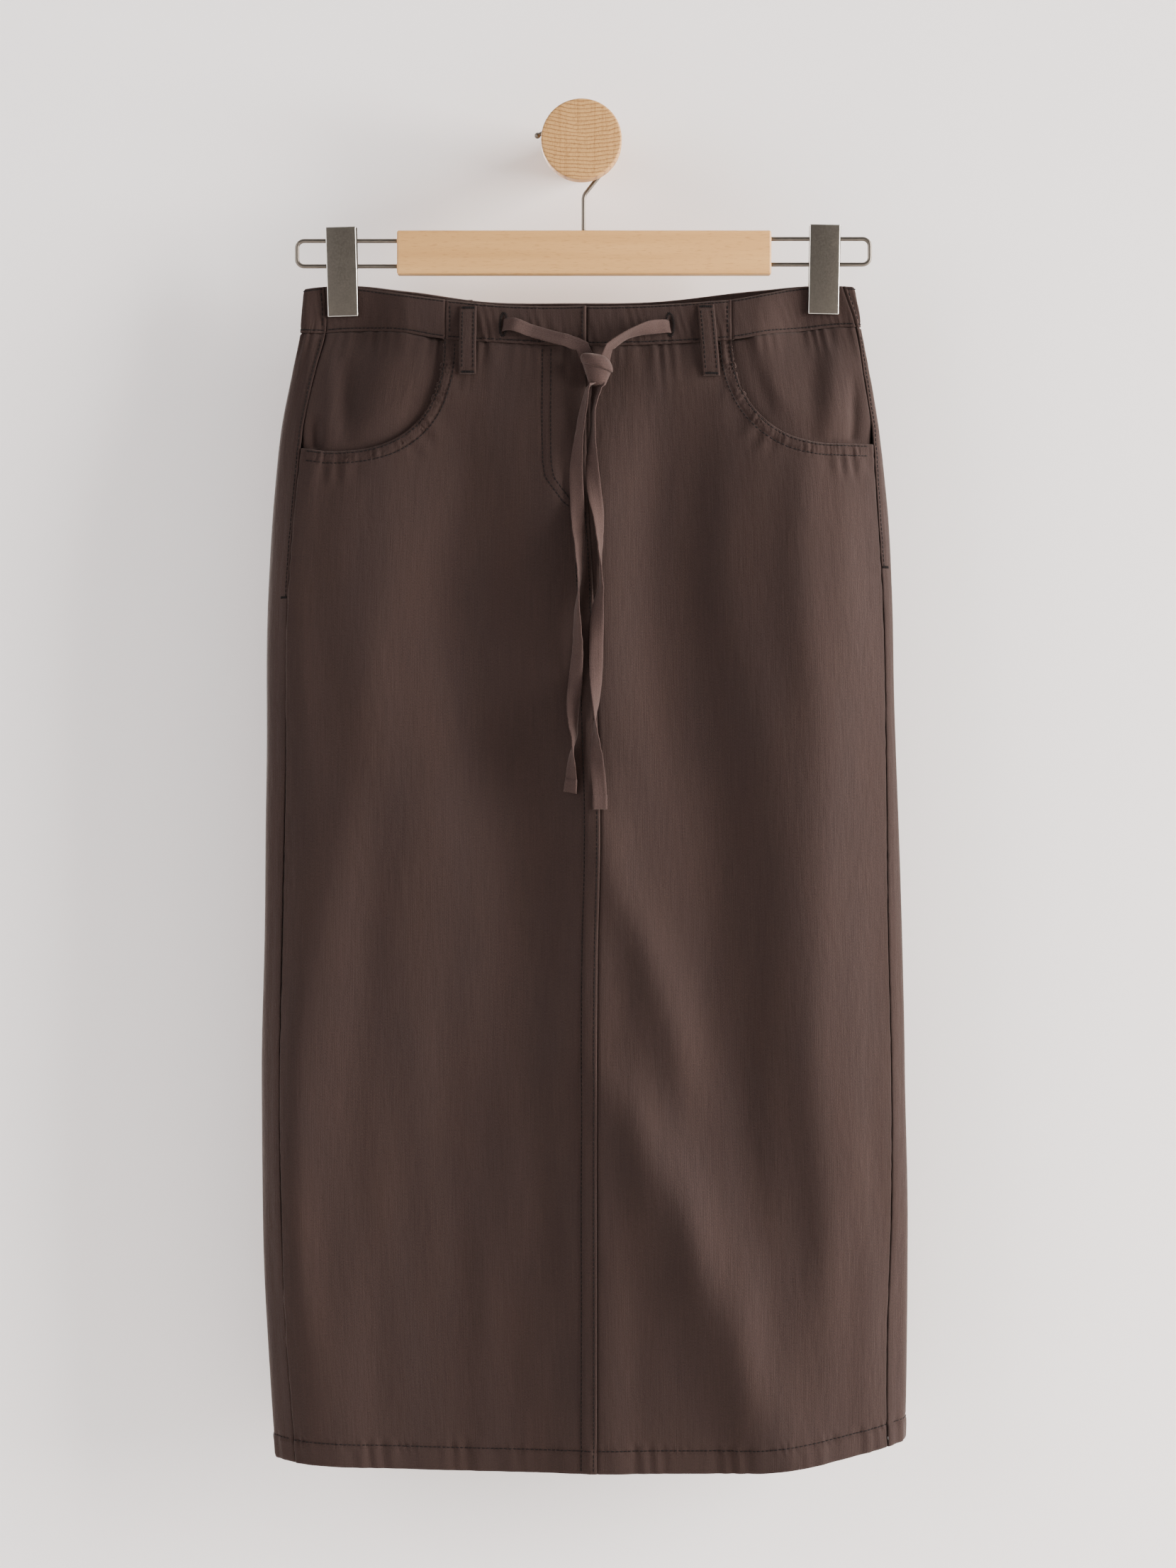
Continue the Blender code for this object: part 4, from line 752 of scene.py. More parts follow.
def mesh_object(name, points, faces, look, uv=None, sharp=None):
    data = bpy.data.meshes.new(name)
    data.from_pydata(np.asarray(points).reshape(-1, 3).tolist(), [], [tuple(face) for face in faces])
    data.shade_smooth()
    if sharp:
        data.set_sharp_from_angle(angle=math.radians(sharp))
    data.materials.append(look)
    if uv is not None:
        corners = np.empty(len(data.loops), dtype=np.int32)
        data.loops.foreach_get("vertex_index", corners)
        spread = np.asarray(uv).reshape(-1, 2)[corners]
        data.uv_layers.new(name="cloth").data.foreach_set("uv", spread.ravel())
    made = bpy.data.objects.new(name, data)
    bpy.context.scene.collection.objects.link(made)
    return made


def grid_faces(rows, columns, flip=False, closed=False):
    """Four-sided faces over a grid, closed round its columns where asked."""
    index = np.arange(rows * columns).reshape(rows, columns)
    if closed:
        index = np.concatenate([index, index[:, :1]], axis=1)
    faces = np.stack([index[:-1, :-1], index[:-1, 1:], index[1:, 1:], index[1:, :-1]], axis=-1)
    faces = faces.reshape(-1, 4)
    return (faces[:, ::-1] if flip else faces).tolist()


def skin(name, rings, look, sharp=None, uv=None):
    """A closed skin through rings of points, with flat ends."""
    count = rings.shape[1]
    faces = grid_faces(*rings.shape[:2], flip=True, closed=True)
    last = (len(rings) - 1) * count
    faces += [list(range(count)), [last + i for i in reversed(range(count))]]
    return mesh_object(name, rings, faces, look, uv, sharp)


def place(piece, *nodes, slot="cloth"):
    """The piece rides on the one body and stands for its CAD nodes."""
    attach(piece, BODY)
    if nodes:
        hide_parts(*nodes)
    return piece


def cloth(name, angle, z, off, wall, node, flip=False):
    """A thin shell of cloth over a grid of places, off the ring's surface by off."""
    uv = np.stack([run_at(angle), z], axis=-1)
    faces = grid_faces(*angle.shape, flip=flip)
    made = mesh_object(name, lifted(angle, z, off), faces, LOOKS["cloth"], uv)
    shell = made.modifiers.new("wall", "SOLIDIFY")
    shell.thickness = wall
    shell.offset = -1
    return place(made, node)


def graded(length, cell):
    """Shares from 0 to 1, evenly spaced, with closer ones beside both ends."""
    ends = np.array([0, 0.0004, 0.0009, 0.0015]) / length
    inner = np.linspace(0, 1, max(int(length / cell), 2) + 1)
    inner = inner[(inner > ends[-1] * 1.4) & (inner < 1 - ends[-1] * 1.4)]
    return np.concatenate([ends, inner, 1 - ends[::-1]])


def panel_rows(low, high):
    """Shares up a panel: fine rows at its hem and top, wider ones between."""
    ends = np.array([0, 0.0004, 0.0010])
    parts = [ends, np.arange(0.0020, low, FINE_DROP), np.arange(low, PANEL_TALL - high, CELL_DROP),
             np.arange(PANEL_TALL - high, PANEL_TALL - 0.0020, FINE_DROP), PANEL_TALL - ends[::-1]]
    return np.concatenate(parts)[:, None] / PANEL_TALL


def tucked(distance, under):
    """An edge dips under its neighbour, or is rolled where it lies on top."""
    if under:
        return -UNDER * fade(-0.0003, EDGE, distance)
    return -ROLL * fade(0, ROLL_WIDTH, distance)


def hem_relief(angle, z, seed):
    """The turned-up hem: a thicker band under its stitch row, slightly puckered."""
    above = z - edge_height("hem", angle)
    row = above - HEM_DEPTH
    run = run_at(angle)
    off = HEM_PROUD * fade(-0.0008, 0.0012, row) - HEM_CURL * fade(0, 0.0015, above)
    off += HEM_WAVE * ripple(run + 0.05 * above, 0.0150, seed) * fade(-0.001, 0.009, row)
    return off + pucker("hem", run + 0.3 * row, row, seed + 2.0) + groove(row, 0.0011, 0.0008)


def drift(angle, z):
    """Slow unevenness of hanging cloth, long down and short across."""
    run = run_at(angle)
    total = 0.0
    for pitch, tall, height, seed in DRIFTS:
        bend = np.sin(2 * math.pi * z / tall + seed)
        swing = 0.6 + 0.4 * np.cos(2 * math.pi * z / (tall * 1.7) + 2 * seed)
        total = total + height * np.sin(2 * math.pi * run / pitch + 1.3 * bend + seed) * swing
    return total * smooth(DRIFT_START, DRIFT_FULL, z)


def resampled(angle, z, step):
    """The same line with places a real step apart."""
    runs = np.concatenate([[0], np.cumsum(np.hypot(np.diff(run_at(angle)), np.diff(z)))])
    spots = np.linspace(0, runs[-1], max(int(runs[-1] / step), 2) + 1)
    return np.interp(spots, runs, angle), np.interp(spots, runs, z)


def pocket_path(side, clear=0.0):
    """The pocket's edge from the side seam to the band, or a row clear inside it."""
    pocket = POCKETS[side]
    way = pocket["side"]
    low_z = pocket["z"] - pocket["deep"] - clear
    seam_z = pocket["seam_z"] - clear
    seam = side_seam(way, SEAM_LAP * way)(np.array(seam_z))
    turn = np.linspace(0, 1, 160)
    share = 2 / pocket["power"]
    x = pocket["x"] - way * (pocket["wide"] + clear) * np.sin(turn * math.pi / 2) ** share
    z = pocket["z"] - (pocket["deep"] + clear) * np.cos(turn * math.pi / 2) ** share
    curve = angle_at(x, z)
    level = np.linspace(0, 1, 8)[:-1]
    level_z = seam_z + (low_z - seam_z) * smooth(0, 1, level)
    angle = np.concatenate([seam + (curve[0] - seam) * level, curve])
    z = np.concatenate([level_z, z])
    kept = z < edge_height("band", angle) + SEAM_LAP
    top = curve[-1]
    return np.append(angle[kept], top), np.append(z[kept], edge_height("band", top) + SEAM_LAP)


def fly_path(shift):
    """The fly's stitched curve, moved to the right."""
    x, z = np.array(FLY_STITCH).T
    return angle_at(x + shift, z), z


def front_line(side):
    """A front's side edge; level with its pocket it goes straight on up."""
    pocket = POCKETS[side]
    line = side_seam(pocket["side"], SEAM_LAP * pocket["side"])
    return lambda z: line(np.minimum(z, pocket["seam_z"]))


def middle_line(side):
    """The left front lies over the right one in the middle."""
    return centre_seam(0.0 if side == "left" else -3 * SEAM_LAP)


def front_places(side):
    """The fine grid of a front: columns from its side seam to the middle, rows up."""
    side_line, centre_line = front_line(side), middle_line(side)
    pocket_angle, pocket_z = resampled(*pocket_path(side), CURVE_CELL)
    middle = meeting(centre_line, "band")
    length = abs(run_at(middle) - run_at(pocket_angle[-1]))
    band_angle = pocket_angle[-1] + (middle - pocket_angle[-1]) * graded(length, CELL)[1:]
    top_angle = np.concatenate([pocket_angle, band_angle])
    top_z = np.concatenate([pocket_z, edge_height("band", band_angle) + SEAM_LAP])
    start = side_line(top_z)
    share_top = np.maximum.accumulate((top_angle - start) / (centre_line(top_z) - start))
    # As many columns at the hem as at the top, closer together beside both edges.
    share_low = graded(FRONT_WIDE, FRONT_WIDE / (len(share_top) - 7))
    share_low = np.interp(np.linspace(0, 1, len(share_top)), np.linspace(0, 1, len(share_low)), share_low)
    hem_start, hem_end = meeting(side_line, "hem"), meeting(centre_line, "hem")
    hem_z = edge_height("hem", hem_start + (hem_end - hem_start) * share_low)
    z = hem_z + panel_rows(FINE_HEM, FINE_FRONT) * (top_z - hem_z)
    share = share_low + (share_top - share_low) * np.exp(-(top_z - z) / FAN)
    return side_line(z) + share * (centre_line(z) - side_line(z)), z


def pocket_relief(side, angle, z):
    """The stitched band along a pocket's edge and the puckers it draws up."""
    path = np.stack(pocket_path(side), axis=-1)
    away, run = beside(path, angle, z)
    off = POCKET_PROUD * fade(POCKET_ROWS[1] - 0.0010, POCKET_ROWS[1] + 0.0050, away)
    off += groove(away - POCKET_ROWS[0], 0.0008, 0.0004) + groove(away - POCKET_ROWS[1], 0.0012, 0.0005)
    off += pucker("pocket_tight", run, away, 0.9) + pucker("pocket_broad", run, away, 2.9)
    return off - POCKET_ROLL * fade(0, 0.0010, away)


def fell_relief(angle, z):
    """The felled seam down the middle: a raised band with a stitch row at each side."""
    inside = from_edge(angle, z)
    low = smooth(FELL_TOP + FELL_EASE, FELL_TOP, z)
    off = fell_rise(angle, z) + groove(inside - FELL_ROWS[0], 0.0008, 0.00035) * low
    off += groove(inside - FELL_ROWS[1], 0.0009, 0.0003) * low
    return off + pucker("fell", z, inside, 3.1) * low


def front_relief(side, angle, z):
    """Everything that lifts or dips a front: its edges, seams, pocket, hem and creases."""
    way = POCKETS[side]["side"]
    off = drift(angle, z) + hem_relief(angle, z, 1.3 + way)
    off += relief(FRONT_CREASES, ring_x(angle, z), z) + pocket_relief(side, angle, z)
    below = edge_height("band", angle) - z
    run = run_at(angle)
    off += pucker("waist_broad", run, below, 0.4 + way) + pucker("waist_tight", run, below, 1.7 + way)
    off += tucked(below, True)
    low = smooth(POCKETS[side]["seam_z"] + 0.004, POCKETS[side]["seam_z"] - 0.004, z)
    seam = -way * past(side_seam(way, 0), angle, z)
    off += tucked(seam, True) * low
    off += pucker("side_front", z, seam, 1.1) * low
    off += tucked(way * past(centre_seam(0), angle, z), side == "right")
    if side == "left":
        off += fell_relief(angle, z)
        stitched, _ = beside(np.stack(fly_path(0), axis=-1), angle, z)
        off += groove(stitched, 0.0012, 0.0006)
    return off


def front_panel(side):
    angle, z = front_places(side)
    off = front_relief(side, angle, z)
    made = cloth("front_" + side, angle, z, off, CLOTH_WALL, "front_panel_" + side, side == "right")
    rows = [pocket_path(side, row) for row in POCKET_ROWS]
    rows = [(angle[2:-2], z[2:-2]) for angle, z in rows]
    rows.append(hem_row(front_line(side), middle_line(side)))
    if side == "left":
        rows += [upright(centre_seam(-row), FELL_TOP + 0.006, FELL_END) for row in FELL_ROWS]
        rows += [fly_path(0), fly_path(FLY_GAP)]
    stitches("stitches_front_" + side, rows, partial(front_relief, side), made)


def upright(line, start_z, end_z):
    """Places along a line between two heights."""
    z = np.linspace(start_z, end_z, max(int(abs(start_z - end_z) / 0.002), 2))
    return line(z), z


def hem_row(first, last):
    """The hem's stitch row between two lines."""
    angle = np.linspace(meeting(first, "hem"), meeting(last, "hem"), 240)[3:-3]
    return angle, edge_height("hem", angle) + HEM_DEPTH


def back_relief(angle, z):
    """Everything that lifts or dips the back."""
    run = run_at(angle)
    off = drift(angle, z) + hem_relief(angle, z, 0.2)
    off += relief(BACK_CREASES, ring_x(angle, z), z) * (np.cos(angle) < 0)
    below = edge_height("band", angle) - z
    off += pucker("waist_back", run, below, 2.2) + tucked(below, True)
    seams = (past(side_seam(1, 0), angle, z), -past(past_back(side_seam(-1, 0)), angle, z))
    for seam in seams:
        off += SIDE_PROUD * fade(0.0060, 0.0080, seam) + tucked(seam, False)
        off += groove(seam - EDGE_ROW, 0.0009, 0.00035) * smooth(-0.325, -0.300, z)
        off += pucker("side_back", z, seam, 0.3)
    return off


def back_panel():
    right_line, left_line = side_seam(1, 0), past_back(side_seam(-1, 0))
    around = graded(0.46, BACK_CELL)
    top_right, top_left = meeting(right_line, "band"), meeting(left_line, "band")
    low_right, low_left = meeting(right_line, "hem"), meeting(left_line, "hem")
    top_z = edge_height("band", top_right + (top_left - top_right) * around) + SEAM_LAP
    hem_z = edge_height("hem", low_right + (low_left - low_right) * around)
    z = hem_z + panel_rows(FINE_HEM, FINE_BACK) * (top_z - hem_z)
    angle = right_line(z) + around * (left_line(z) - right_line(z))
    made = cloth("back", angle, z, back_relief(angle, z), CLOTH_WALL, "back_panel")
    rows = [hem_row(right_line, left_line)]
    rows.append(upright(side_seam(1, EDGE_ROW), EDGE_ROW_TOP["right"], SEAM_TACKS["right"]))
    rows.append(upright(past_back(side_seam(-1, -EDGE_ROW)), EDGE_ROW_TOP["left"], SEAM_TACKS["left"]))
    stitches("stitches_back", rows, back_relief, made)
    tacks = []
    for line, height in ((side_seam(1, TACK_ASIDE), SEAM_TACKS["right"]),
                         (past_back(side_seam(-1, -TACK_ASIDE)), SEAM_TACKS["left"])):
        spot = line(np.array(height))
        ends = along(spot, height, np.array([-TACK_HALF, TACK_HALF]))
        tacks.append((ends, np.full(2, height)))
    stitches("tacks_back", tacks, back_relief, made, pitch=TACK_PITCH, length=TACK, turned=True)


def settled(tree, centres, outs):
    """The same places, set down on the outer face of the cloth."""
    spots = []
    for centre, out in zip(centres, outs):
        found = tree.ray_cast(Vector(centre + out * SETTLE), Vector(-out), 2 * SETTLE)[0]
        spots.append(np.array(found) + out * THREAD * SUNK if found else centre)
    return np.array(spots)


def stitches(name, rows, rise, made, pitch=STITCH_PITCH, length=STITCH, turned=False):
    """Short stitches on a made piece along (angle, z) rows; turned ones lie across theirs."""
    tree = BVHTree.FromPolygons([vertex.co for vertex in made.data.vertices],
                                [face.vertices for face in made.data.polygons])
    centres, ways, outs = [], [], []
    for angle, z in rows:
        angle, z = resampled(angle, z, pitch)
        middle_angle, middle_z = (angle[1:] + angle[:-1]) / 2, (z[1:] + z[:-1]) / 2
        centres.append(lifted(middle_angle, middle_z, rise(middle_angle, middle_z)))
        ways.append(unit(surface(angle[1:], z[1:]) - surface(angle[:-1], z[:-1])))
        outs.append(outward(middle_angle, middle_z))
    centres, ways, outs = (np.concatenate(part) for part in (centres, ways, outs))
    if turned:
        ways = unit(np.cross(outs, ways))
    return place(sewn(name, settled(tree, centres, outs), ways, outs, length, LOOKS["thread"]))


def sewn(name, centres, ways, outs, length, look):
    """One mesh of many little rounded stitches."""
    sides = unit(np.cross(ways, outs))
    outs = unit(np.cross(sides, ways))
    turn = np.arange(STITCH_SIDES) * 2 * math.pi / STITCH_SIDES
    rings = []
    for reach, girth in STITCH_RINGS:
        ring = centres[:, None] + ways[:, None] * reach * length
        ring = ring + sides[:, None] * (np.cos(turn) * THREAD * girth)[:, None]
        rings.append(ring + outs[:, None] * (np.sin(turn) * THREAD * girth)[:, None])
    points = np.stack(rings, axis=1)
    single = grid_faces(len(STITCH_RINGS), STITCH_SIDES, closed=True)
    each = len(STITCH_RINGS) * STITCH_SIDES
    faces = (np.array(single)[None] + (np.arange(len(centres)) * each)[:, None, None]).reshape(-1, 4)
    return mesh_object(name, points, faces.tolist(), look)


def band_relief(spec, angle, z):
    """Gathers, rolled edges and the dips at the stitch rows of the band."""
    low = z - edge_height("band", angle)
    high = edge_height("waist", angle) - z
    run = run_at(angle)
    tall = np.clip(low / np.maximum(low + high, 1e-6), 0, 1)
    pull = 0.35 + 0.65 * np.cos(math.pi * (tall - 0.35)) ** 2
    off = spec["rise"](angle, z) + 0.00035 * np.sin(math.pi * tall)
    off += spec["gather"] * ripple(run + 0.3 * low, 0.0088, spec["seed"]) * pull
    off += 0.8 * spec["gather"] * ripple(run, 0.0042, spec["seed"] + 1) * bell(low, 0.003, 0.004)
    off += groove(low - BAND_ROWS[0], 0.0009, 0.00050) + groove(high - BAND_ROWS[1], 0.0009, 0.00035)
    off -= WAIST_ROLL * fade(0, 0.0013, high) + ROLL * fade(0, ROLL_WIDTH, low)
    for line, way, under in spec["ends"]:
        inner = way * past(line, angle, z)
        off += tucked(inner, under)
        if not under:
            off += groove(inner - END_ROW, 0.0009, 0.0004)
    if spec["rim"]:
        inner = -past(spec["ends"][1][0], angle, z)
        off += RIM_RISE * bell(inner, 0.0019, 0.0014)
    for x, hole_z, half, _ in BUTTONHOLES.values():
        away = np.hypot((ring_x(angle, z) - x) / 0.0014, (z - hole_z) / half)
        off -= SLOT_DEPTH * fade(0.3, 1.05, away) * (np.cos(angle) > 0)
    return off


def band_piece(name, first, last, unders, rise, seed, gather):
    """A stretch of waistband between two upright lines, each under its neighbour or over it."""
    start = first(-SEAM_LAP * unders[0])
    end = last(SEAM_LAP * unders[1])
    spec = {"rise": rise, "seed": seed, "gather": gather, "rim": name == "front_left",
            "ends": ((first(0), 1, unders[0]), (last(0), -1, unders[1]))}
    low = (meeting(start, "band"), meeting(end, "band"))
    high = (meeting(start, "waist"), meeting(end, "waist"))
    around = graded(abs(run_at(low[1]) - run_at(low[0])), BAND_CELL)
    low_z = edge_height("band", low[0] + (low[1] - low[0]) * around)
    high_z = edge_height("waist", high[0] + (high[1] - high[0]) * around)
    z = low_z + graded(BAND_TALL, BAND_CELL)[:, None] * (high_z - low_z)
    angle = start(z) + around * (end(z) - start(z))
    made = cloth("band_" + name, angle, z, band_relief(spec, angle, z), BAND_WALL, "waistband_" + name)
    rows = []
    for edge, row in (("band", BAND_ROWS[0]), ("waist", -BAND_ROWS[1])):
        ends = (meeting(first(BAND_ROW_END), edge), meeting(last(-BAND_ROW_END), edge))
        places = np.linspace(*ends, max(int(300 * abs(ends[1] - ends[0])), 8))
        rows.append((places, edge_height(edge, places) + row))
    for line, way, under in ((first, 1, unders[0]), (last, -1, unders[1])):
        if not under:
            inset = line(way * END_ROW)
            rows.append(upright(inset, float(edge_height("waist", meeting(inset, "waist"))) - 0.004,
                                float(edge_height("band", meeting(inset, "band"))) + 0.005))
    stitches("stitches_band_" + name, rows, partial(band_relief, spec), made)
    for side in [side for side in BUTTONHOLES if name == "front_" + side]:
        buttonhole(side, BUTTONHOLES[side], partial(band_relief, spec), made)


def plain_rise(_angle, _z):
    return BAND_PROUD


def waistband():
    """Five pieces of band, from the left side seam round to it again."""
    def behind_left(shift):
        return past_back(side_seam(-1, shift))

    side_left, side_right = partial(side_seam, -1), partial(side_seam, 1)
    joint_left, joint_right = partial(band_joint, "left"), partial(band_joint, "right")
    band_piece("side_left", side_left, joint_left, (True, True), plain_rise, 0.3, 0.00020)
    band_piece("front_left", joint_left, centre_seam, (False, False), overlap_rise, 1.4, 0.00052)
    band_piece("front_right", centre_seam, joint_right, (True, False), plain_rise, 2.5, 0.00048)
    band_piece("side_right", joint_right, side_right, (True, True), plain_rise, 3.6, 0.00020)
    band_piece("back", side_right, behind_left, (False, False), plain_rise, 4.7, 0.00045)


def facing(side):
    """The hip piece that shows in a pocket opening and runs behind its edge."""
    pocket = POCKETS[side]
    way, power = pocket["side"], pocket["power"]
    seam_line = side_seam(way, way * SEAM_LAP)
    top = angle_at(pocket["x"] - way * (pocket["wide"] + FACING_LAP), pocket["z"])
    across = graded(0.10, FACING_CELL)
    low_z = pocket["z"] - pocket["deep"] - FACING_LAP * 0.9
    high_z = edge_height("band", meeting(seam_line, "band") * (1 - across) + top * across) + SEAM_LAP
    x_share = np.clip(across * 1.02 - 0.24, 0, 1)
    bottom = pocket["z"] - (pocket["z"] - low_z) * np.maximum(1 - x_share ** power, 0) ** (1 / power)
    z = bottom + graded(0.09, FACING_DROP)[:, None] * (high_z - bottom)
    start = seam_line(z)
    angle = start + across * (top - start)
    x = ring_x(angle, z)
    wide = np.maximum((pocket["x"] - x) * way, 0) / pocket["wide"]
    deep = np.maximum(pocket["z"] - z, 0) / pocket["deep"]
    inside = (1 - (wide ** power + deep ** power) ** (1 / power)) * pocket["deep"]
    off = -FACING_INSET * fade(0, FACING_BLEND, inside)
    off += relief(FACING_CREASES[side], x, z) * smooth(0.000, 0.006, inside)
    below = edge_height("band", angle) - z
    off += tucked(below, True) + tucked(-way * past(side_seam(way, 0), angle, z), True)
    off += pucker("waist_facing", run_at(angle), below, 0.6 + way)
    made = cloth("facing_" + side, angle, z, off, FACING_WALL, "pocket_facing_" + side, side == "right")


def belt_loop(name, spot):
    """A flat loop with turned-in sides, sewn down at both ends and bowed out between."""
    t = np.linspace(0, 1, 36)[:, None]
    x = spot["top"][0] + (spot["bottom"][0] - spot["top"][0]) * t
    z = spot["top"][1] + (spot["bottom"][1] - spot["top"][1]) * t
    share, face = np.array(LOOP_SLICE).T
    middle = angle_at(x, z, spot["back"])
    angle = middle + share * LOOP_WIDTH / 2 / rate(middle, z)
    bow = LOOP_LIFT + LOOP_BOW * np.sin(math.pi * np.clip((t - 0.06) / 0.88, 0, 1)) ** 0.8
    dent = groove((t - 0.045) * 0.05, 0.0012, 0.0006) + groove((t - 0.955) * 0.05, 0.0012, 0.0006)
    off = bow + face + dent + 0.00015 * ripple(z, 0.007, 1.0)
    under = bow + 0.0002 + 0 * share
    angles = np.concatenate([angle, angle[:, ::-1]], axis=1)
    offs = np.concatenate([off, under], axis=1)
    rings = lifted(angles, z + 0 * angles, offs)
    uv = np.stack([run_at(angles) + 0.3, z + 0 * angles], axis=-1)
    made = place(skin(name + "_cloth", rings, LOOKS["cloth"], sharp=50, uv=uv), name)

    def rise(angle, z):
        """The loop's outer face, level across."""
        down = np.clip((z - spot["top"][1]) / (spot["bottom"][1] - spot["top"][1]), 0, 1)
        return np.interp(down, t[:, 0], (bow + dent)[:, 0]) + 0.0013

    rows = []
    for way in (-LOOP_ROW, LOOP_ROW):
        rows.append(((middle + way * LOOP_WIDTH / 2 / rate(middle, z))[3:-3, 0], z[3:-3, 0]))
    stitches("stitches_" + name, rows, rise, made)
    tacks = []
    for i in (1, -2):
        reach = LOOP_TACK / rate(middle[i, 0], z[i, 0])
        tacks.append((middle[i, 0] + np.array([-reach, reach]), np.full(2, z[i, 0])))
    stitches("tacks_" + name, tacks, rise, made, pitch=TACK_PITCH, length=TACK, turned=True)


def tie_rise(angle, z):
    """How far the cloth under the tie stands out of the ring's surface."""
    lapped = from_edge(angle, z) > 0
    on_band = z > edge_height("band", angle)
    band = np.where(lapped, overlap_rise(angle, z), BAND_PROUD)
    return np.where(on_band, band, np.where(lapped, fell_rise(angle, z), 0.0))


def tie_places(x, z, off, turn):
    """The ribbon's middle, so that its nearer edge clears the cloth, and the way out."""
    angle = angle_at(x, z)
    steps = (-TIE_WIDTH / 2, 0, TIE_WIDTH / 2)
    rise = np.max([tie_rise(angle_at(x + step, z), z) for step in steps], axis=0)
    reach = np.abs(np.sin(turn)) * TIE_WIDTH / 2 + TIE_WALL / 2
    return lifted(angle, z, rise + TIE_CLEAR + off + reach), outward(angle, z)


def tie_half(side):
    """One half of the tie: out of its buttonhole, through the knot and down to its end."""
    run, tail = TIE_RUNS["tie_run_" + side], TIE_TAILS["tie_tail_" + side]
    way = 1 if side == "left" else -1
    x = np.linspace(run.keys[0], run.keys[-1], RUN_PLACES)[::way]
    run_z, run_off, run_turn = run.at(x).T
    run_turn = np.radians(run_turn) * way
    run_middle, run_out = tie_places(x, run_z, run_off, run_turn)
    hem_z = tail.keys[0] + TIE_HEM + np.array([0, HEM_STEP])
    tail_z = np.sort(np.append(np.linspace(tail.keys[-1], tail.keys[0], TAIL_PLACES), hem_z))[::-1]
    tail_x, tail_off, tail_turn = tail.at(tail_z).T
    tail_turn = np.radians(tail_turn)
    tail_middle, tail_out = tie_places(tail_x, tail_z, tail_off, tail_turn)
    knot = np.array(KNOT_PASS[side])
    depth = np.linspace(run_middle[-1, 1], tail_middle[0, 1], len(knot) + 2)[1:-1]
    knot_middle = np.stack([knot[:, 0], depth, knot[:, 1]], axis=-1)
    middle = np.concatenate([run_middle, knot_middle, tail_middle])
    out = np.concatenate([run_out, np.tile([[0.0, -1.0, 0.0]], (len(knot), 1)), tail_out])
    turn = np.concatenate([run_turn, np.radians(knot[:, 2]), tail_turn])
    made = ribbon("tie_" + side, middle, out, turn)
    place(made, "tie_run_" + side, "tie_tail_" + side, slot="tie")
    steps = np.linspace(0, len(middle) - 1, PATH_PLACES).round().astype(int)
    return made, middle[steps]


def ribbon(name, middle, out, turn):
    """A folded flat ribbon, slightly cupped, turned about its own middle line."""
    run = unit(np.gradient(middle, axis=0))
    flat = unit(np.cross(run, out))
    away = unit(np.cross(flat, run))
    across = flat * np.cos(turn)[:, None] + away * np.sin(turn)[:, None]
    face = unit(np.cross(across, run))
    share, thick = np.array(RIBBON_SLICE).T
    thick = thick * TIE_WALL / 2
    share = np.concatenate([share, share[::-1]])
    sides = share * TIE_WIDTH / 2
    runs = np.concatenate([[0], np.cumsum(np.linalg.norm(np.diff(middle, axis=0), axis=1))])
    hem = smooth(runs[-1] - TIE_HEM - HEM_STEP, runs[-1] - TIE_HEM, runs)[:, None]
    sides = sides * (1 + 0.05 * hem)
    deep = np.concatenate([-thick, thick[::-1]]) * (1 + 0.9 * hem)
    deep = deep + TIE_CUP * share ** 2
    wave = TIE_WAVE * ripple(runs, 0.013, 0.8)[:, None]
    rings = middle[:, None] + across[:, None] * sides[..., None]
    rings = rings + face[:, None] * (deep + wave)[..., None]
    uv = np.stack([sides, runs[:, None] + 0 * sides], axis=-1)
    return skin(name, rings, LOOKS["tie"], sharp=60, uv=uv)


def knot_turn(name, rows, depth):
    """One turn of the knot: rounded slices that lean, from the bottom up."""
    turn = np.linspace(0, 2 * math.pi, 40, endpoint=False)
    rings = []
    for i, (x, z, wide, deep, lean) in enumerate(rows):
        edge = np.sign(np.cos(turn)) * np.abs(np.cos(turn)) ** 0.8
        front = np.sign(np.sin(turn)) * np.abs(np.sin(turn)) ** 0.9
        crumple = 1 + 0.03 * np.sin(3 * turn + 0.9 * i) + 0.02 * np.sin(7 * turn - i)
        px = wide * edge * crumple
        pz = px * math.tan(math.radians(lean))
        rings.append(np.stack([x + px, depth - deep * front * crumple, z + pz], axis=-1))
    rings = np.array(rings)
    made = skin(name, rings, LOOKS["tie"], sharp=70, uv=rings[..., [2, 0]])
    soft = made.modifiers.new("soft", "SUBSURF")
    soft.levels = 1
    soft.render_levels = 1
    return made


def tie():
    """Both turns of the knot, and the two halves of the ribbon through it."""
    x, z = KNOT_AT
    depth = float(surface(angle_at(x, z), z)[1]) - TIE_CLEAR - KNOT_OFF
    lower = place(knot_turn("knot_lower", KNOT_LOWER, depth), "tie_knot", slot="tie")
    upper = place(knot_turn("knot_upper", KNOT_UPPER, depth), slot="tie")
    for side in ("left", "right"):
        made, path = tie_half(side)


def buttonhole(side, spot, rise, made):
    """An upright slot bound with close stitches."""
    x, z, half, lean = spot
    turn = np.linspace(0, 2 * math.pi, 90)
    hole_x = x + HOLE_SIDE * np.cos(turn) + lean * half * np.sin(turn)
    hole_z = z + (half + HOLE_END) * np.sin(turn)
    stitches("buttonhole_" + side, [(angle_at(hole_x, hole_z), hole_z)], rise, made,
             pitch=HOLE_PITCH, length=HOLE_STITCH, turned=True)


def emptied(mesh):
    """The points and faces of an edit mesh, which is let go."""
    points = [vertex.co[:] for vertex in mesh.verts]
    faces = [[vertex.index for vertex in face.verts] for face in mesh.faces]
    mesh.free()
    return points, faces


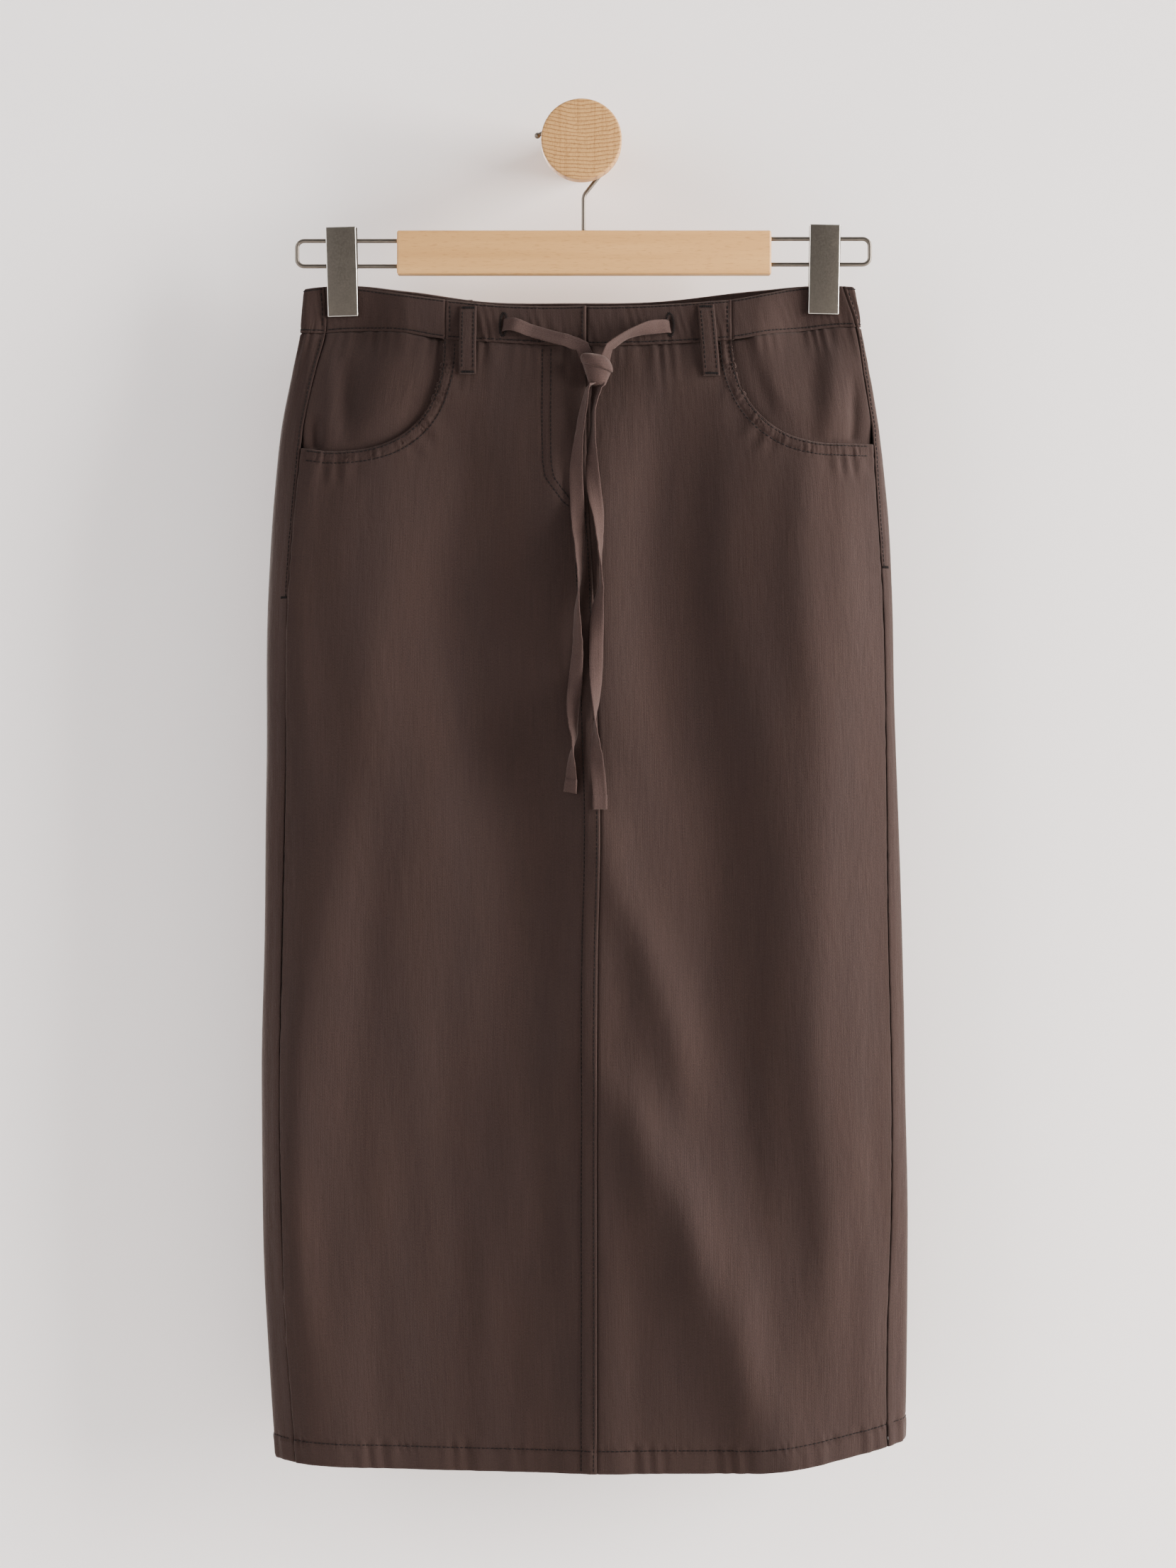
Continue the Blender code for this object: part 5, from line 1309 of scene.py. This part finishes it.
def block(name, low, high, round_edges, look, middle=None, turn=0.0, segments=3):
    """A block between two corners with rounded edges, turned about a middle line front to back."""
    mesh = bmesh.new()
    bmesh.ops.create_cube(mesh, size=1)
    size, centre = Vector(high) - Vector(low), (Vector(high) + Vector(low)) / 2
    for vertex in mesh.verts:
        vertex.co = Vector(a * b for a, b in zip(vertex.co, size)) + centre
    bmesh.ops.bevel(mesh, geom=mesh.edges[:], offset=round_edges, segments=segments, profile=0.5,
                    affect="EDGES", clamp_overlap=True)
    pivot = Vector(middle if middle else centre)
    spin = Matrix.Translation(pivot) @ Matrix.Rotation(turn, 4, "Y") @ Matrix.Translation(-pivot)
    bmesh.ops.transform(mesh, matrix=spin, verts=mesh.verts)
    return mesh_object(name, *emptied(mesh), look, sharp=40)


def tube(name, points, radius, look, sides=18):
    """A round wire in an upright plane, with rounded ends."""
    points = np.asarray(points)
    run = unit(np.gradient(points, axis=0))
    side = unit(np.cross(run, [0.0, 1.0, 0.0]))
    sizes = np.full(len(points), radius)
    caps = []
    for end, way in ((0, -1), (-1, 1)):
        bulge = np.radians([30, 60, 85])
        cap = points[end] + way * run[end] * (radius * np.sin(bulge))[:, None]
        caps.append((cap[::way], radius * np.cos(bulge)[::way]))
    points = np.concatenate([caps[0][0], points, caps[1][0]])
    sizes = np.concatenate([caps[0][1], sizes, caps[1][1]])
    side = np.concatenate([np.repeat(side[:1], 3, axis=0), side, np.repeat(side[-1:], 3, axis=0)])
    turn = np.linspace(0, 2 * math.pi, sides, endpoint=False)
    rings = points[:, None] + sizes[:, None, None] * (
        side[:, None] * np.cos(turn)[:, None] + np.array([0.0, 1.0, 0.0]) * np.sin(turn)[:, None])
    return skin(name, rings, look)


def arc(x, z, radius, first, last, count):
    turn = np.linspace(math.radians(first), math.radians(last), count)
    return [(x + radius * math.cos(a), HANG_Y, z + radius * math.sin(a)) for a in turn]


def wire_loop(name, spot):
    """A narrow loop of wire out of the bar's end, with two round corners."""
    way = 1 if spot["end"] > spot["bar"] else -1
    bend_x = spot["end"] - way * (WIRE / 2 + WIRE_CORNER)
    first = arc(bend_x, spot["top"] - WIRE_CORNER, WIRE_CORNER, 90, 0, 10)
    second = arc(bend_x, spot["bottom"] + WIRE_CORNER, WIRE_CORNER, 0, -90, 10)
    bend = [(bend_x + way * (x - bend_x), y, z) for x, y, z in first + second]
    inside = spot["bar"] - way * 0.004
    points = [(inside, HANG_Y, spot["top"])] + bend + [(inside, HANG_Y, spot["bottom"])]
    place(tube(name + "_round", points, WIRE / 2, LOOKS["wire"]), name, slot="wire")


def hanger_hook():
    """A stem out of the bar that leans right, turns over the neck and ends left."""
    across, down = STEM_X - HOOK_X, HOOK_Z - STEM_BEND
    lean = math.asin(HOOK_RADIUS / math.hypot(across, down)) - math.atan2(across, down)
    slant = np.array([math.sin(lean), 0, math.cos(lean)])
    bend = np.array([STEM_X, HANG_Y, STEM_BEND])
    points = [(STEM_X, HANG_Y, BAR_TOP - 0.004)]
    for t in np.linspace(0, 1, 7):
        before, after = bend - (0, 0, STEM_EASE), bend + slant * STEM_EASE
        points.append((1 - t) ** 2 * before + 2 * t * (1 - t) * bend + t * t * after)
    end = math.degrees(HOOK_END_ANGLE)
    points += arc(HOOK_X, HOOK_Z, HOOK_RADIUS, -math.degrees(lean), end, 40)
    way = np.array([-math.sin(HOOK_END_ANGLE), 0, math.cos(HOOK_END_ANGLE)])
    points.append(np.array(points[-1]) + way * HOOK_TIP)
    place(tube("hook_round", points, WIRE / 2, LOOKS["wire"], 24), "hanger_hook", slot="wire")
    mesh = bmesh.new()
    bmesh.ops.create_uvsphere(mesh, u_segments=24, v_segments=14, radius=HOOK_BALL)
    bmesh.ops.translate(mesh, vec=Vector(points[-1]), verts=mesh.verts)
    place(mesh_object("hook_ball", *emptied(mesh), LOOKS["wire"]), slot="wire")


def clip(side):
    """A pressed front plate with two flanges and a lip, its spring leaf and its inner plate."""
    spot = CLIPS[side]
    middle = (spot["x"], HANG_Y, spot["z"])
    low_z, high_z = spot["z"] - CLIP_HEIGHT / 2, spot["z"] + CLIP_HEIGHT / 2
    left, right = spot["x"] - CLIP_WIDTH / 2, spot["x"] + CLIP_WIDTH / 2
    front_y = HANG_Y - JAW - CLIP_PLATE
    plate = block("clip_plate_" + side, (left, front_y, low_z), (right, front_y + 0.0014, high_z),
                  0.00055, LOOKS["nickel"], middle, spot["tilt"], 4)
    # The plate's bevel faces take a brighter copy of the nickel: a painted highlight.
    plate.data.materials.append(LOOKS["painted_highlight"])
    for face in plate.data.polygons:
        face.material_index = int(max(abs(part) for part in face.normal) < HIGHLIGHT_LEAN)
    place(plate, "clip_front_" + side, slot="nickel")
    # The corners of each part, from the plate's own edges.
    parts = {
        "flange_left": ((left + 0.0001, front_y + 0.0006, low_z + 0.0220),
                        (left + 0.0011, HANG_Y + 0.0010, high_z - 0.0010)),
        "flange_right": ((right - 0.0011, front_y + 0.0006, low_z + 0.0220),
                         (right - 0.0001, HANG_Y + 0.0010, high_z - 0.0010)),
        "leaf": ((left + 0.0016, front_y + 0.0013, low_z + 0.0010),
                 (right - 0.0016, front_y + 0.0028, high_z - 0.0030)),
        "inner": ((left + 0.0016, HANG_Y - 0.0006, low_z + 0.0340),
                  (right + 0.0007, HANG_Y + 0.0012, high_z - 0.0002)),
        "lip": ((left + 0.0004, front_y + 0.0004, high_z - 0.0014),
                (right - 0.0004, HANG_Y + 0.0014, high_z - 0.0002)),
    }
    # The flanges, leaf, inner plate and lip take a darker copy of the nickel: painted shade.
    for name, (low, high) in parts.items():
        name = "clip_%s_%s" % (name, side)
        place(block(name, low, high, 0.0003, LOOKS["dark"], middle, spot["tilt"], 2), slot="nickel")


def repaint():
    """CAD nodes whose shape is right keep it and get a better material."""
    for name in ("clip_back_left", "clip_back_right"):
        for index in range(len(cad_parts[name].material_slots)):
            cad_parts[name].material_slots[index].material = LOOKS["nickel"]


def hanger_bar():
    low = (BAR_LEFT, HANG_Y - BAR_DEPTH / 2, BAR_BOTTOM)
    high = (BAR_RIGHT, HANG_Y + BAR_DEPTH / 2, BAR_TOP)
    place(block("bar", low, high, BAR_ROUND, LOOKS["bar"], segments=5), "hanger_bar", slot="beech")


def wall_peg():
    """A turned peg: a round head on a neck that stands on the wall."""
    rim = [(PEG_RADIUS - PEG_ROUND * (1 - math.sin(a)), PEG_FRONT - PEG_ROUND * (1 - math.cos(a)))
           for a in np.radians(np.linspace(0, 90, 7))]
    profile = [(0.0001, PEG_FRONT), (PEG_RADIUS * 0.5, PEG_FRONT)] + rim + [
        (PEG_RADIUS, PEG_LIP + 0.0006), (PEG_RADIUS - 0.0006, PEG_LIP), (PEG_NECK + 0.0012, PEG_LIP),
        (PEG_NECK, PEG_LIP - 0.0012), (PEG_NECK, 0.0)]
    turn = np.linspace(0, 2 * math.pi, 96, endpoint=False)
    rings = np.array([[(r * math.cos(a), -h, -r * math.sin(a)) for a in turn] for r, h in profile])
    place(skin("peg_turned", rings, LOOKS["peg"], sharp=50), "wall_peg", slot="beech")


def camera():
    data = bpy.data.cameras.new("camera")
    data.sensor_fit = "VERTICAL"
    data.sensor_height = SENSOR
    data.sensor_width = SENSOR
    data.lens = SENSOR * VIEW_DISTANCE / VIEW_TALL
    made = bpy.data.objects.new("camera", data)
    made.location = (VIEW_X, HANG_Y - VIEW_DISTANCE, VIEW_Z)
    made.rotation_euler = (math.radians(90), 0, 0)
    bpy.context.scene.collection.objects.link(made)
    bpy.context.scene.camera = made


def area_light(name, spot, target, size, power, colour):
    data = bpy.data.lights.new(name, "AREA")
    data.shape = "RECTANGLE"
    data.size, data.size_y = size
    data.energy = power
    data.color = colour
    made = bpy.data.objects.new(name, data)
    made.location = spot
    made.rotation_mode = "QUATERNION"
    made.rotation_quaternion = (Vector(target) - Vector(spot)).to_track_quat("-Z", "Y")
    bpy.context.scene.collection.objects.link(made)


def stage():
    """A pale wall, seen only from its front and clear to light, a floor and soft lights."""
    look = Look("wall", (0.99, 0.940, 0.915), 0.95)
    back = look.add("ShaderNodeNewGeometry", {}).outputs["Backfacing"]
    clear = look.add("ShaderNodeBsdfTransparent", {}).outputs[0]
    shade = look.add("ShaderNodeLightPath", {}).outputs["Is Shadow Ray"]
    passed = look.maths("MAXIMUM", back, shade)
    both = look.add("ShaderNodeMixShader", {0: passed, 1: look.shader.outputs[0], 2: clear}).outputs[0]
    look.feed(look.tree.nodes["Material Output"].inputs["Surface"], both)
    wide, low, high = WALL_WIDE, FLOOR_Z, WALL_TOP
    wall_points = [(-wide, WALL_Y, low), (wide, WALL_Y, low), (wide, WALL_Y, high), (-wide, WALL_Y, high)]
    wall = mesh_object("wall", wall_points, [(0, 1, 2, 3)], look.material)
    floor_look = Look("floor", (0.78, 0.76, 0.74), 0.9)
    corners = ((-1, -1), (1, -1), (1, 1), (-1, 1))
    floor_points = [(x * FLOOR_WIDE, y * FLOOR_WIDE, low) for x, y in corners]
    floor = mesh_object("floor", floor_points, [(0, 1, 2, 3)], floor_look.material)
    for light in LIGHTS:
        area_light(*light)
    world = bpy.data.worlds.new("room")
    world.use_nodes = True
    glow = world.node_tree.nodes["Background"].inputs
    glow["Color"].default_value = (0.95, 0.95, 1.0, 1)
    glow["Strength"].default_value = ROOM_LIGHT
    bpy.context.scene.world = world


LOOKS = {
    "cloth": cloth_look("cloth_twill", (0.0181, 0.0101, 0.0082), (0.0328, 0.0188, 0.0155), 0.42),
    "tie": cloth_look("tie_ribbon", (0.036, 0.0212, 0.0182), (0.056, 0.0345, 0.0300), 0.30),
    "thread": thread_look(),
    "bar": side_grain_look(),
    "peg": end_grain_look(),
    "nickel": metal_look("clip_nickel", (0.155, 0.135, 0.110), 0.42, (900, 900, 900)),
    # A brighter copy of the clip's nickel: painted highlight on the plate's bevel edges.
    "painted_highlight": metal_look("clip_edge_highlight", (0.62, 0.59, 0.53), 0.30, (900, 900, 900)),
    # A darker copy of the clip's nickel: painted shade on its flanges, leaf, inner plate and lip.
    "dark": metal_look("clip_painted_shade", (0.07, 0.062, 0.052), 0.45, (900, 900, 900)),
    "wire": metal_look("wire_steel", (0.165, 0.143, 0.118), 0.38, (300, 300, 300)),
}

camera()
for front_side in POCKETS:
    front_panel(front_side)
    facing(front_side)
back_panel()
waistband()
for loop_name, loop_spot in BELT_LOOPS.items():
    belt_loop(loop_name, loop_spot)
tie()
for wire_name, wire_spot in WIRE_LOOPS.items():
    wire_loop(wire_name, wire_spot)
for clip_side in CLIPS:
    clip(clip_side)
repaint()
hanger_hook()
hanger_bar()
wall_peg()
stage()
